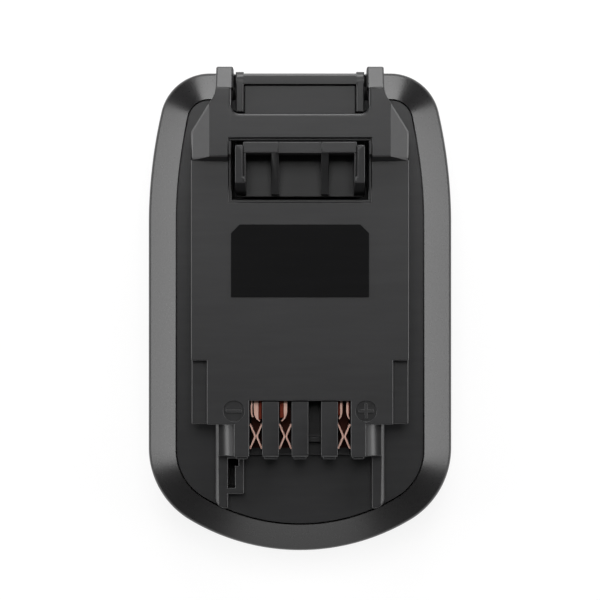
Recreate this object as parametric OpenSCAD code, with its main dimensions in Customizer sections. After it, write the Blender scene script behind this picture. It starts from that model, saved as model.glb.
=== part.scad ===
// Tool battery adapter. X runs across, Y from the nose to the battery mouth, Z up towards the tool.
// The origin is under the middle of the casing, on the plane that the adapter rests on. Millimetres.

/* [Casing] */
// Width across the casing
casing_w = 75.5; // [72:0.5:85]
// Length of the casing, nose to mouth
casing_l = 119; // [117:0.5:135]
// Thickness of the casing wall
casing_wall = 2.2; // [1.6:0.1:2.6]
// Radius of the corners beside the mouth
mouth_corner_r = 12.4; // [10:0.2:14]
// Width that a mouth corner takes up, from the side to the straight edge
mouth_corner_w = 15.25; // [14.5:0.05:16.5]
// Radius of the long curve that narrows the sides towards the mouth
side_r = 125; // [110:1:150]
// Radius of the corners at the nose
nose_corner_r = 21; // [17:0.5:23]
// Distance from the nose tip to where its corners begin
nose_corner_l = 25.6; // [25:0.2:30]
// Width of the sloping rim, seen from above
bevel_run = 6.8; // [5.5:0.1:7.4]
// Height of the sloping rim
bevel_rise = 5.6; // [4.8:0.1:7.2]
// Flat land along the inner edge of the rim
rim_land = 0.3; // [0.2:0.05:0.6]
// Chamfer round the foot of the casing
foot_chamfer = 0.5; // [0.3:0.1:1]
// Width of the shelf that carries the interface cover
shelf_w = 1.8; // [1.4:0.1:2.4]
// Thickness of that shelf
shelf_t = 2; // [1.6:0.1:2.4]
// Inward step of the wall that the receiver bears on
step_w = 1.4; // [1:0.1:2]

/* [Battery receiver] */
// Height of the ceiling of the battery channel
channel_h = 13; // [12:0.5:16]
// Width of the battery channel
channel_w = 57; // [54:0.5:59]
// Length of the battery channel, from the mouth
channel_l = 100; // [96:0.5:103]
// Opening between the lips of the channel
channel_gap = 49; // [46:0.5:51]
// Height of the lips of the channel
channel_lip_h = 3.4; // [2.6:0.1:4]
// Thickness of the channel's side walls
channel_wall = 2; // [1.6:0.1:2.4]
// Thickness of the channel's roof
roof_t = 3; // [2.6:0.1:4]
// Height of the flange that bears on the casing's step
receiver_flange = 2.2; // [1.6:0.1:3]
// Length of the slot for the battery's own catch
catch_l = 5; // [4:0.1:5.4]
// Width of that slot
catch_w = 16; // [12:1:20]
// Distance from the latch springs to that slot
catch_gap = 1.5; // [1.2:0.1:1.8]
// Clear height above the roof for the leads
service_h = 4.6; // [4.4:0.1:7]
// Height of the pads under the screw bosses
pad_h = 2; // [1.5:0.1:3]
// Height of the pads under the latch springs
spring_pad_h = 1.5; // [1:0.1:2]
// Rim of those pads past the springs
spring_pad_rim = 0.5; // [0.3:0.1:0.8]

/* [Interface cover] */
// Thickness of the floor
floor_t = 2.4; // [2:0.1:3]
// Floor below the top of the rim
floor_drop = 0.2; // [0.1:0.05:0.5]
// Height of the grooves for the tool's rails
groove_h = 6.5; // [6:0.1:8]
// Thickness of the rail lips
rail_lip_t = 5.5; // [4.6:0.1:7]
// Width across the rail lips
rail_w = 52.7; // [51:0.1:54]
// Width across the neck between the grooves
neck_w = 43; // [42:0.5:44]
// Length of the full rail lips, from the latch window to the step
rail_l = 38.3; // [36:0.1:40]
// Length of the low ledges past the step
ledge_l = 15.5; // [14:0.1:17]
// Ledge below the top plate
ledge_drop = 3; // [2:0.1:3.6]
// Width of the top plate between the ledges
plate_w = 45.1; // [44:0.1:46]
// Length of the terminal block past the plate
block_l = 7.85; // [7:0.05:9]
// Width of the terminal block's own fingers, beside the outer slots
block_side_w = 3.77; // [3.4:0.01:4.2]
// Radius of the coves beside the terminal block
cove_r = 4; // [3:0.1:4.2]
// Length of the toes at the foot of the block's fingers
toe_l = 0.6; // [0.3:0.1:0.8]
// Drop from the top of a finger to its toe
toe_drop = 1.2; // [0.8:0.1:2]
// Toe narrower than its finger, on each side
toe_inset = 0.45; // [0.2:0.05:0.6]
// Thickness of the cover's walls
cover_wall = 2.2; // [1.8:0.1:2.6]
// Height of the head above the plate
head_h = 4; // [3:0.1:5]
// Width of the flat top of the head
head_top_w = 43.6; // [42.5:0.2:45]
// Length of the sloping front of the head
head_slope_l = 1.5; // [1:0.1:2]
// Reach of the head's arms towards the nose, past the bridge
head_arm_l = 5.95; // [5:0.05:7]
// Length of the bridge over the latch
bridge_l = 5.95; // [5.5:0.05:7]
// Thickness of the bridge
bridge_t = 2.5; // [2:0.1:3]
// Length of the latch window
window_l = 15.25; // [14.5:0.05:16]
// Width of the latch window
window_w = 34.4; // [33.6:0.2:35]
// Room in the floor past the latch springs
spring_room = 1.4; // [1:0.1:2]
// Width of the shallow rebate round the latch window
rebate_w = 0.65; // [0.4:0.05:0.8]
// Depth of that rebate
rebate_t = 0.6; // [0.4:0.1:1]
// Length of the prongs past the bridge
prong_l = 11.6; // [11.4:0.1:13]
// Width of a prong
prong_w = 3.7; // [3:0.1:4]
// Width of the notch between the prongs
notch_w = 33.1; // [32.4:0.1:34]
// Corner radius of the notch
notch_r = 2; // [1.5:0.1:2.4]
// Length of the sloping tip of a prong
prong_tip_l = 5.4; // [4:0.1:6]
// Length of the wing's straight side past the bridge's front edge
wing_l = 1.85; // [1:0.05:3]
// Prong length left past the wing's slanted side
prong_free_l = 6.7; // [6:0.1:8]
// Radius of the curve from the wing's slanted side into the prong
wing_r = 6; // [3:0.5:9]
// Prong tips short of the mouth end
prong_setback = 0.1; // [0.1:0.1:0.5]
// Radius of the polarity discs
disc_r = 2.55; // [2.2:0.05:3]
// Depth of the polarity discs
disc_depth = 0.5; // [0.3:0.1:0.8]
// Distance from the plate's edge to the polarity discs
disc_gap = 0.5; // [0.3:0.1:0.8]
// Length of the lines of the polarity signs
sign_l = 3.7; // [3:0.1:4]
// Line width of the polarity signs
sign_w = 0.8; // [0.6:0.1:1]
// Height of the two legs on the floor
leg_h = 4; // [3:0.1:5]
// Length of the legs past the terminal block
leg_l = 13.1; // [12:0.1:14]
// Distance of the legs' outer sides from the middle
leg_x = 20.75; // [20.2:0.05:21]
// Width of a leg at its end
leg_w = 3.1; // [2.8:0.1:3.4]
// Chamfer along the legs' outer edges
leg_chamfer = 0.7; // [0.4:0.1:1]
// Radius of the legs' outer ends
leg_end_r = 2.5; // [1.5:0.1:2.7]
// Width of the wide part of the left leg
leg_wide_w = 7; // [6.8:0.1:7.2]
// Length of that wide part
leg_wide_l = 9.6; // [9:0.1:10.5]
// Width of the slot in the left leg
leg_slot_w = 1.7; // [1.4:0.1:1.9]
// Length of that slot
leg_slot_l = 8; // [7:0.1:8.6]
// Distance from the terminal block to that slot
leg_slot_gap = 0.9; // [0.7:0.1:1.5]
// Sideways step at the head of that slot
leg_key_w = 0.85; // [0.6:0.05:1]
// Length of that step
leg_key_l = 1.7; // [1.2:0.1:2.4]

/* [Label] */
// Length of the label
label_l = 17.6; // [15:0.1:19]
// Width of the label
label_w = 33.4; // [28:0.2:36]
// Thickness of the label
label_t = 0.2; // [0.1:0.05:0.4]
// Cut corners of the label
label_chamfer = 2.1; // [1:0.1:3]
// Distance from the latch window to the label
label_gap = 5.4; // [4.5:0.1:7]

/* [Tool contacts] */
// Distance between neighbouring terminal slots
slot_pitch = 7.13; // [7:0.01:7.2]
// Width of a terminal slot
slot_w = 3.07; // [2.9:0.01:3.2]
// Length of the terminal slots
slot_l = 13.6; // [13:0.1:15]
// Thickness of the carrier's base
carrier_base_t = 2.5; // [2:0.1:3]
// Reach of the carrier behind the slots
carrier_rear_l = 9.4; // [8.5:0.1:10]
// Chamfer on the noses of the carrier's fingers
finger_chamfer = 0.6; // [0.3:0.1:1]
// Distance from the block's face to the cross rib in the empty slot
cross_rib_gap = 3.4; // [2.5:0.1:5]
// Thickness of that cross rib
cross_rib_t = 1.2; // [0.8:0.1:1.6]
// Height of that cross rib
cross_rib_h = 3; // [2:0.1:4]
// Distance from the block's face to the carrier's screws
carrier_screw_l = 6; // [5:0.1:7]
// Thickness of the contact strip
strip_t = 0.5; // [0.4:0.05:0.6]
// Width of the contact strip
strip_w = 2.5; // [2.3:0.05:2.6]
// Height of the contact's walls and leaves
leaf_h = 6.6; // [5:0.1:7]
// Length of the crossed leaves, seen from above
leaf_l = 6.3; // [5.5:0.1:6.8]
// Distance from the block's face to those leaves
leaf_gap = 1.4; // [0.8:0.1:1.8]
// Gap between the leaves where they pinch
pinch_gap = 0.1; // [0.05:0.05:0.3]
// Length of the contact's walls in view behind the leaves
contact_wall_l = 4.9; // [4:0.1:5.4]
// Free tail of the contact behind the carrier
contact_tail_l = 3; // [2:0.1:4]

/* [Battery blades] */
// Thickness of a blade
blade_t = 0.8; // [0.6:0.05:1]
// Height of a blade
blade_h = 6; // [5:0.1:6.6]
// Reach of a blade into the channel
blade_reach = 14; // [11:0.5:16]
// Chamfer at a blade's tip
blade_chamfer = 1; // [0.6:0.1:1.5]
// Distance of the power blades from the middle
blade_x = 14; // [13:0.5:15]
// Distance of the signal blade from the middle
signal_blade_x = 5; // [4.5:0.1:5.4]
// Width of the blade holder past the power blades
holder_margin = 5; // [3.5:0.1:8]
// Length of the blade holder
holder_l = 6; // [5.6:0.1:8]
// Length of a blade's upright tail
blade_tail_l = 2; // [1.6:0.1:2.4]
// Distance from the channel's end to that tail
blade_inset = 1.5; // [1:0.1:2]
// Rise of that tail above the roof
blade_rise = 3.5; // [3.4:0.1:4.2]
// Distance of the holder's screws from the middle
holder_screw_x = 9.2; // [8.8:0.1:10]

/* [Release latch] */
// Travel of the latch
latch_travel = 3.5; // [2.5:0.1:3.6]
// Width of the latch
latch_w = 31; // [30:0.1:31.6]
// Thickness of the latch's base
latch_t = 2.5; // [2:0.1:3]
// Underside of the latch below the rail lips
latch_sink = 1; // [0.6:0.1:1.4]
// Hook above the head
hook_rise = 3; // [2:0.1:3.4]
// Length of the hook bar
hook_l = 2.6; // [2:0.1:3]
// Lean of the hook bar's back, from its foot to its top
hook_lean = 0.55; // [0.3:0.05:0.8]
// Width of the raised middle of the hook bar
hook_mid_w = 10.3; // [8:0.1:12]
// Raised middle above the rest of the hook bar
hook_step = 0.5; // [0.2:0.1:0.8]
// Thickness of the latch's cheeks and button ribs
cheek_t = 1.9; // [1.6:0.1:2.2]
// Length of the steep front of a cheek
cheek_front_l = 2.9; // [2:0.1:3.5]
// Drop along the top of a cheek, from the hook forwards
cheek_fall = 1.5; // [1:0.1:2]
// Cheek's top edge short of the hook bar's
cheek_setback = 0.8; // [0.4:0.1:1.2]
// Thickness of the two ribs between the cheeks
latch_rib_t = 1.6; // [1.2:0.1:2]
// Distance between those ribs
latch_rib_gap = 10.8; // [9:0.1:13]
// Ribs short of the latch's front edge
latch_rib_setback = 0.5; // [0.3:0.1:1]
// Height of the ribs at their front
latch_rib_h = 1; // [0.6:0.1:2]
// Back of the ribs below the top of the hook
latch_rib_drop = 2.5; // [1.5:0.1:4]
// Width of the stop pads under the bridge
stop_w = 3.1; // [2.4:0.1:3.6]
// Stop pads short of the bridge's edges
stop_setback = 0.75; // [0.6:0.05:1.2]
// Radius of the button ribs' ends
button_r = 2.5; // [1.5:0.1:3]
// Top of the button below the top of the head
button_drop = 1.5; // [1:0.1:2]
// Depth of the thumb panel below the button's ribs
panel_depth = 3; // [2:0.1:4]
// Length of the bar at the button's end
button_bar_l = 2.5; // [2:0.1:3]
// Button's ribs short of the prong tips
button_setback = 1.3; // [1:0.1:2]
// Button's bar short of its ribs
bar_setback = 0.65; // [0.4:0.05:1]
// Reach of the button's bar below the latch's base
bar_skirt = 2.5; // [1:0.1:2.6]
// Diameter of the guide posts
post_d = 3; // [2.5:0.1:3.4]
// Distance of the guide posts from the middle
post_x = 9; // [7:0.5:9.5]
// Reach of a guide post into the latch
post_reach = 2; // [1.5:0.1:2.4]
// Room above a guide post when the latch is down
post_room = 0.5; // [0.3:0.1:0.8]
// Roof left under a guide post
post_skin = 1; // [0.6:0.1:1.4]
// Wall of the latch's bosses round the guide posts
latch_boss_wall = 1.5; // [1.2:0.1:1.7]
// Those bosses below the bridge
latch_boss_gap = 0.9; // [0.6:0.1:1.1]
// Outside diameter of the latch springs
spring_d = 6; // [5.4:0.1:6.4]
// Wire of the latch springs
spring_wire = 0.7; // [0.5:0.05:0.8]
// Turns of a latch spring
spring_turns = 6; // [5:1:7]

/* [Board and leads] */
// Width of the coding board
board_w = 18; // [16:0.5:19]
// Length of the coding board
board_l = 14; // [12:0.5:15]
// Thickness of the coding board
board_t = 1.6; // [1:0.1:1.8]
// Distance from the contact tails to the board
board_gap = 10; // [9:0.1:11]
// Height of the board's feet
board_foot_h = 3; // [2.4:0.1:3.4]
// Radius of the board's feet
board_foot_r = 1.2; // [0.8:0.1:1.5]
// Distance of the feet's centres from the board's edges
board_foot_inset = 1.5; // [1.5:0.1:2.5]
// Width of a resistor
resistor_w = 1.6; // [1:0.1:2]
// Length of a resistor
resistor_l = 3.2; // [2:0.1:4]
// Height of a resistor
resistor_h = 0.6; // [0.4:0.1:1]
// Distance between the resistors' centres
resistor_pitch = 4; // [3:0.1:5]
// Distance of the first resistor from the middle
resistor_x = 1.5; // [1:0.1:2]
// Diameter of the power leads
power_lead_d = 2.4; // [1.8:0.1:2.6]
// Diameter of the signal leads
signal_lead_d = 1.6; // [1.2:0.1:1.6]

/* [Fasteners and fits] */
// Shank diameter of the housing screws
screw_d = 2.9; // [2.5:0.1:3.2]
// Head diameter of the housing screws
screw_head_d = 5.6; // [5:0.1:6]
// Head height of the housing screws
screw_head_h = 2; // [1.6:0.1:2.2]
// Length of the housing screws under the head
screw_l = 11; // [9:0.5:12]
// Outside diameter of the screw bosses
boss_d = 7; // [6:0.1:7.2]
// Distance of the screw bosses from the contact carrier
boss_gap = 0.27; // [0.15:0.01:0.5]
// Distance from the latch window to the rear screws
screw_back_gap = 6.6; // [5.5:0.1:8]
// Distance from the rail lips' step to the front screws
screw_front_gap = 1.4; // [0.5:0.1:2.5]
// Shank diameter of the small screws
small_screw_d = 2; // [1.6:0.1:2.2]
// Head diameter of the small screws
small_head_d = 3.5; // [3:0.1:3.6]
// Head height of the small screws
small_head_h = 1.4; // [1:0.1:1.5]
// Length of the small screws under the head
small_screw_l = 8; // [6:0.5:9]
// Width of the cross recess in a screw's head
recess_w = 0.9; // [0.6:0.1:1.1]
// Depth of that recess
recess_depth = 0.7; // [0.4:0.1:0.9]
// Rim of the head round that recess
recess_rim = 0.9; // [0.6:0.1:1]
// Clearance between fixed mouldings
fit = 0.2; // [0.1:0.05:0.3]
// Clearance round shanks, posts and blades in their holes
hole_fit = 0.05; // [0.02:0.01:0.1]
// Clearance round the moving latch
latch_fit = 0.55; // [0.3:0.05:0.7]

/* [Hidden] */
$fn = 48;
cut = 1;

// Levels, from the resting plane upwards
roof_z = channel_h + roof_t;
pad_z = roof_z + pad_h;
seat_z = roof_z + service_h;
shelf_z = seat_z - shelf_t;
floor_z = seat_z + floor_t;
rim_top_z = floor_z + floor_drop;
rim_z = rim_top_z - bevel_rise;
lip_z = floor_z + groove_h;
plate_z = lip_z + rail_lip_t;
ledge_z = plate_z - ledge_drop;
inside_z = plate_z - cover_wall;
head_z = plate_z + head_h;
bridge_z = head_z - bridge_t;
hook_z = head_z + hook_rise;
button_z = head_z - button_drop;
leg_z = floor_z + leg_h;

// Places along the adapter, from the mouth towards the nose
mouth_y = casing_l / 2;
nose_y = -casing_l / 2;
tip_y = mouth_y - prong_setback;
bridge_back_y = tip_y - prong_l;
bridge_y = bridge_back_y - bridge_l;
window_y = bridge_y - window_l;
head_foot_y = bridge_y - head_arm_l;
step_y = window_y - rail_l;
plate_y = step_y - ledge_l;
block_y = plate_y - block_l;
leg_y = block_y - leg_l;
slot_y = block_y + slot_l;
carrier_y = slot_y + carrier_rear_l;
channel_y = mouth_y - channel_l;
holder_y = channel_y + holder_l;
holder_w = 2 * (blade_x + holder_margin);

// Casing outline: arc centres and the angles where the arcs meet
half_w = casing_w / 2;
nose_corner_c = [half_w - nose_corner_r, nose_y + nose_corner_l];
nose_r = (nose_corner_c.x ^ 2 + nose_corner_l ^ 2 - nose_corner_r ^ 2)
    / (2 * (nose_corner_l - nose_corner_r));
nose_c = [0, nose_y + nose_r];
nose_angle = atan2(nose_corner_c.y - nose_c.y, nose_corner_c.x);
mouth_corner_c = [half_w - mouth_corner_w, mouth_y - mouth_corner_r];
side_dx = mouth_corner_c.x - half_w + side_r;
side_dy = sqrt((side_r - mouth_corner_r) ^ 2 - side_dx ^ 2);
side_c = [half_w - side_r, mouth_corner_c.y - side_dy];
side_angle = atan2(side_dy, side_dx);

function arc(centre, r, a0, a1, first, n) = [
    for (i = [first:n]) centre + r * [cos(a0 + (a1 - a0) * i / n), sin(a0 + (a1 - a0) * i / n)]
];

// Right half of the casing outline, drawn in by inset
function half_outline(inset) = concat(
    arc(nose_c, nose_r - inset, -90, nose_angle, 0, 6),
    arc(nose_corner_c, nose_corner_r - inset, nose_angle, 0, 1, 10),
    arc(side_c, side_r - inset, 0, side_angle, 0, 4),
    arc(mouth_corner_c, mouth_corner_r - inset, side_angle, 90, 1, 8)
);

function outline(inset) = let (half = half_outline(inset), n = len(half))
    concat(half, [for (i = [n - 1:-1:1]) [-half[i].x, half[i].y]]);

cavity_inset = casing_wall + step_w;
opening_inset = bevel_run + rim_land;
receiver_inset = casing_wall + fit;
mouth_w = channel_w + 2 * channel_wall + fit;

// Latch and its guide
latch_z = lip_z - latch_sink;
latch_top_z = latch_z + latch_t;
post_y = bridge_y + bridge_l / 2;
hook_back_y = bridge_y - latch_fit;
hook_bar_y = hook_back_y - hook_l - hook_lean;
latch_y = window_y + rebate_w + latch_fit + fit;
button_y = bridge_back_y + latch_fit;
button_end_y = tip_y - button_setback;
bar_end_y = button_end_y - bar_setback;
cheek_x = latch_w / 2 - cheek_t;
post_bore_r = post_d / 2 + hole_fit;
post_top_z = latch_z + post_reach;
post_foot_z = channel_h + post_skin;
latch_boss_z = bridge_z - latch_boss_gap;
spring_pad_z = roof_z + spring_pad_h;
spring_front_y = post_y + spring_d / 2;
spring_mean_r = (spring_d - spring_wire) / 2;
spring_l = latch_z - spring_pad_z;

// Contacts, blades, board and leads
signal_slot_x = -slot_pitch / 2;
power_slot_x = 1.5 * slot_pitch;
carrier_floor_z = floor_z + carrier_base_t;
carrier_half_w = power_slot_x + slot_w / 2;
block_w = 2 * (carrier_half_w + block_side_w);
finger_w = slot_pitch - slot_w;
tail_y = carrier_y + contact_tail_l;
tail_z = carrier_floor_z + strip_t / 2;
blade_z = (channel_lip_h + channel_h) / 2;
blade_tail_y = channel_y + blade_inset;
blade_tail_z = roof_z + blade_rise;
board_y = tail_y + board_gap;
board_z = roof_z + board_foot_h;
board_top_z = board_z + board_t;
small_boss_x = slot_pitch;
carrier_screw_y = block_y + carrier_screw_l;
holder_screw_y = channel_y + holder_l / 2;
screw_back_y = window_y - screw_back_gap;
screw_front_y = step_y - screw_front_gap;
screw_seat_z = channel_h + screw_head_h + fit;
screw_x = carrier_half_w + boss_gap + boss_d / 2;
screw_places = [for (x = [-screw_x, screw_x], y = [screw_front_y, screw_back_y]) [x, y]];

plastic = "#3b3b3c";
casing_black = "#2e2e2f";
copper = "#c98f76";
steel = "#b8babd";

module box(x, y, z) {
    translate([x[0], y[0], z[0]]) cube([x[1] - x[0], y[1] - y[0], z[1] - z[0]]);
}

// A profile in Y and Z, drawn out along X
module side_profile(x, points) {
    translate([x[0], 0, 0]) rotate([90, 0, 90]) linear_extrude(x[1] - x[0]) polygon(points);
}

// A profile in X and Z, drawn out along Y
module front_profile(y, points) {
    translate([0, y[1], 0]) rotate([90, 0, 0]) linear_extrude(y[1] - y[0]) polygon(points);
}

module slab(inset, z) {
    translate([0, 0, z[0]]) linear_extrude(z[1] - z[0]) polygon(outline(inset));
}

module rod(place, r, z) {
    translate([place.x, place.y, z[0]]) cylinder(r = r, h = z[1] - z[0]);
}

module both_sides() {
    children();
    mirror([1, 0, 0]) children();
}

// Solid through casing outlines, each level given as inset and height
module loft(levels) {
    rings = [for (level = levels) outline(level[0])];
    n = len(rings[0]);
    last = len(levels) - 1;
    polyhedron(
        points = [for (k = [0:last], p = rings[k]) [p.x, p.y, levels[k][1]]],
        faces = concat(
            [[for (i = [0:n - 1]) i]],
            [[for (i = [n - 1:-1:0]) last * n + i]],
            [for (k = [0:last - 1], i = [0:n - 1]) let (j = (i + 1) % n)
                [k * n + i, (k + 1) * n + i, (k + 1) * n + j, k * n + j]]
        )
    );
}

// Round tube along points that never run parallel to side
module tube(points, r, sides, side) {
    n = len(points);
    function along(i) = let (d = points[min(i + 1, n - 1)] - points[max(i - 1, 0)]) d / norm(d);
    function across(i) = let (d = cross(along(i), side)) d / norm(d);
    function ring_point(i, k) = let (a = 360 * k / sides, u = across(i), v = cross(u, along(i)))
        points[i] + r * (cos(a) * u + sin(a) * v);
    polyhedron(
        points = [for (i = [0:n - 1], k = [0:sides - 1]) ring_point(i, k)],
        faces = concat(
            [for (k = [1:sides - 2]) [0, k, k + 1]],
            [for (k = [1:sides - 2]) let (o = (n - 1) * sides) [o, o + k + 1, o + k]],
            [for (i = [0:n - 2], k = [0:sides - 1], half = [0, 1])
                let (a = i * sides, b = a + sides, m = (k + 1) % sides)
                half == 0 ? [a + k, b + k, b + m] : [a + k, b + m, a + m]]
        )
    );
}

// Smooth curve through control points, with its ends held straight
function curve(points, steps) = let (n = len(points)) concat(
    [for (i = [0:n - 2], s = [0:steps - 1]) let (
        a = points[max(i - 1, 0)], b = points[i], c = points[i + 1], d = points[min(i + 2, n - 1)],
        t = s / steps
    ) 0.5 * (2 * b + (c - a) * t + (2 * a - 5 * b + 4 * c - d) * t ^ 2
        + (3 * b - a - 3 * c + d) * t ^ 3)],
    [points[n - 1]]
);

module outer_casing() color(casing_black) {
    difference() {
        loft([[foot_chamfer, 0], [0, foot_chamfer], [0, rim_z], [bevel_run, rim_top_z]]);
        slab(casing_wall, [-cut, channel_h]);
        slab(cavity_inset, [channel_h - cut, shelf_z]);
        slab(opening_inset + shelf_w, [shelf_z - cut, seat_z + cut]);
        slab(opening_inset, [seat_z, rim_top_z + cut]);
        box([-mouth_w / 2, mouth_w / 2], [mouth_y - mouth_corner_r, mouth_y + cut], [-cut, channel_h]);
    }
}

// Plan of the head's rear: wings, prongs and the notch between them
module head_plan() {
    prong_x = notch_w / 2 + prong_w;
    wing = [rail_w / 2, bridge_y + wing_l];
    root = [prong_x, tip_y - prong_free_l];
    slant = atan2(wing.x - root.x, root.y - wing.y);
    curve_c = root + wing_r * [1, tan(slant / 2)];
    right = concat(
        [[wing.x, head_foot_y], wing],
        arc(curve_c, wing_r, 180 + slant, 180, 0, 6),
        [[prong_x, tip_y]]
    );
    difference() {
        polygon(concat(right, [for (i = [len(right) - 1:-1:0]) [-right[i].x, right[i].y]]));
        translate([-notch_w / 2, bridge_back_y + notch_r]) square([notch_w, prong_l]);
        translate([notch_r - notch_w / 2, bridge_back_y]) square([notch_w - 2 * notch_r, prong_l]);
        for (x = [-1, 1]) translate([x * (notch_w / 2 - notch_r), bridge_back_y + notch_r]) circle(notch_r);
    }
}

module head() {
    slope_x = (rail_w - head_top_w) / 2;
    difference() {
        translate([0, 0, lip_z]) linear_extrude(head_z - lip_z) head_plan();
        both_sides() front_profile([head_foot_y - cut, tip_y], [
            [head_top_w / 2, head_z], [head_top_w / 2 + slope_x, plate_z],
            [head_top_w / 2 + slope_x + cut, plate_z], [head_top_w / 2 + slope_x + cut, head_z + cut],
            [head_top_w / 2, head_z + cut]
        ]);
        side_profile([-rail_w, rail_w], [
            [head_foot_y - cut, plate_z], [head_foot_y, plate_z], [head_foot_y + head_slope_l, head_z],
            [head_foot_y + head_slope_l, head_z + cut], [head_foot_y - cut, head_z + cut]
        ]);
        side_profile([-rail_w, rail_w], [
            [tip_y - prong_tip_l, head_z], [tip_y + cut, head_z - prong_tip_l - cut],
            [tip_y + cut, head_z + cut], [tip_y - prong_tip_l, head_z + cut]
        ]);
    }
}

module terminal_block() {
    cove_x = block_w / 2 + cove_r;
    difference() {
        box([-cove_x, cove_x], [block_y, plate_y + cut], [seat_z, plate_z]);
        both_sides() translate([cove_x, plate_y + 2 * cut, plate_z])
            rotate([90, 0, 0]) cylinder(r = cove_r, h = block_l + 4 * cut);
    }
    both_sides() toe([carrier_half_w, block_w / 2], seat_z);
}

// Narrow foot in front of a finger
module toe(x, z0) {
    box([x[0] + toe_inset, x[1] - toe_inset], [block_y - toe_l, block_y + cut], [z0, plate_z - toe_drop]);
}

// Floor legs beside the terminal block, each with a rounded outer end
module leg_plan(inner_x) {
    polygon(concat(
        [[leg_x, plate_y], [inner_x, plate_y], [inner_x, leg_y]],
        arc([leg_x - leg_end_r, leg_y + leg_end_r], leg_end_r, -90, 0, 0, 8)
    ));
}

module legs() {
    intersection() {
        translate([0, 0, seat_z]) linear_extrude(leg_z - seat_z) {
            leg_plan(leg_x - leg_w);
            mirror([1, 0]) leg_plan(leg_x - leg_w);
            translate([-leg_x, block_y - leg_wide_l]) square([leg_wide_w, leg_wide_l + cut]);
        }
        slab(opening_inset + fit, [seat_z - cut, leg_z + cut]);
        front_profile([leg_y - cut, plate_y + cut], [
            [-leg_x, seat_z], [leg_x, seat_z], [leg_x, leg_z - leg_chamfer], [leg_x - leg_chamfer, leg_z],
            [leg_chamfer - leg_x, leg_z], [-leg_x, leg_z - leg_chamfer]
        ]);
    }
}

module leg_slot() {
    slot_x = leg_w - leg_x;
    deep = [seat_z - cut, leg_z + cut];
    head_y = block_y - leg_slot_gap;
    box([slot_x, slot_x + leg_slot_w], [block_y - leg_slot_l, head_y], deep);
    box([slot_x, slot_x + leg_slot_w + leg_key_w], [head_y - leg_key_l, head_y], deep);
}

module polarity_disc(x, plus) {
    disc_y = plate_y + disc_gap + disc_r;
    arm = sign_l / 2;
    translate([x, disc_y, plate_z - disc_depth]) difference() {
        cylinder(r = disc_r, h = disc_depth + cut);
        box([-arm, arm], [-sign_w / 2, sign_w / 2], [-cut, disc_depth]);
        if (plus) box([-sign_w / 2, sign_w / 2], [-arm, arm], [-cut, disc_depth]);
    }
}

module interface_cover() color(plastic) {
    neck_x = neck_w / 2;
    inner_x = neck_x - cover_wall;
    pocket_x = carrier_half_w + hole_fit;
    core_x = pocket_x + cover_wall;
    difference() {
        union() {
            difference() {
                union() {
                    slab(opening_inset + fit, [seat_z, floor_z]);
                    box([-neck_x, neck_x], [plate_y, bridge_back_y], [seat_z, lip_z + cut]);
                    box([-rail_w / 2, rail_w / 2], [step_y, head_foot_y + cut], [lip_z, plate_z]);
                    box([-rail_w / 2, rail_w / 2], [plate_y, step_y + cut], [lip_z, ledge_z]);
                    box([-plate_w / 2, plate_w / 2], [plate_y, step_y + cut], [lip_z, plate_z]);
                    terminal_block();
                    legs();
                    head();
                }
                box([-inner_x, inner_x], [slot_y, bridge_back_y - cover_wall], [seat_z - cut, inside_z]);
                both_sides() box([core_x, inner_x], [block_y + cover_wall, slot_y + cut],
                    [seat_z - cut, lip_z - cover_wall]);
            }
            intersection() {
                for (p = screw_places) rod(p, boss_d / 2, [pad_z, inside_z + cut]);
                box([-neck_x, neck_x], [plate_y, mouth_y], [pad_z, plate_z]);
            }
        }
        box([rebate_w - window_w / 2, window_w / 2 - rebate_w], [window_y + rebate_w, bridge_y],
            [floor_z, hook_z]);
        box([-window_w / 2, window_w / 2], [window_y, bridge_y], [plate_z - rebate_t, hook_z]);
        box([-notch_w / 2, notch_w / 2], [bridge_y - cut, mouth_y], [floor_z, bridge_z]);
        box([-notch_w / 2 + notch_r, notch_w / 2 - notch_r],
            [bridge_y, spring_front_y + spring_room], [seat_z - cut, floor_z + cut]);
        box([-pocket_x, pocket_x], [block_y - cut, slot_y], [floor_z, plate_z + cut]);
        leg_slot();
        polarity_disc(-block_w / 2, false);
        polarity_disc(block_w / 2, true);
        for (p = screw_places) rod(p, screw_d / 2 + hole_fit, [pad_z - cut, screw_seat_z + screw_l + cut]);
        for (x = [-small_boss_x, small_boss_x])
            rod([x, carrier_screw_y], small_screw_d / 2 + hole_fit, [seat_z - cut, floor_z + cut]);
    }
}

module label_plate() color("#161617") {
    label_y = window_y - label_gap;
    x = label_w / 2;
    translate([0, 0, plate_z]) linear_extrude(label_t) polygon([
        [-x, label_y - label_l], [x, label_y - label_l], [x, label_y - label_chamfer],
        [x - label_chamfer, label_y], [label_chamfer - x, label_y], [-x, label_y - label_chamfer]
    ]);
}

module contact_carrier() color("#363637") {
    finger_x = finger_w / 2;
    difference() {
        union() {
            box([-carrier_half_w, carrier_half_w], [block_y, carrier_y], [floor_z, carrier_floor_z]);
            for (i = [-1, 0, 1]) translate([i * slot_pitch, 0, 0]) {
                side_profile([-finger_x, finger_x], [
                    [block_y, floor_z], [slot_y - fit, floor_z], [slot_y - fit, plate_z],
                    [block_y + finger_chamfer, plate_z], [block_y, plate_z - finger_chamfer]
                ]);
                box([-finger_x, finger_x], [slot_y - cut, carrier_y], [floor_z, inside_z - fit]);
                toe([-finger_x, finger_x], floor_z);
            }
            // The empty slot's cross rib
            translate([-signal_slot_x, block_y + cross_rib_gap, carrier_floor_z])
                box([-slot_w / 2, slot_w / 2], [0, cross_rib_t], [-cut, cross_rib_h]);
        }
        for (x = [-small_boss_x, small_boss_x])
            rod([x, carrier_screw_y], small_screw_d / 2 + hole_fit,
                [floor_z - cut, seat_z + small_screw_l + cut]);
    }
}

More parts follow.
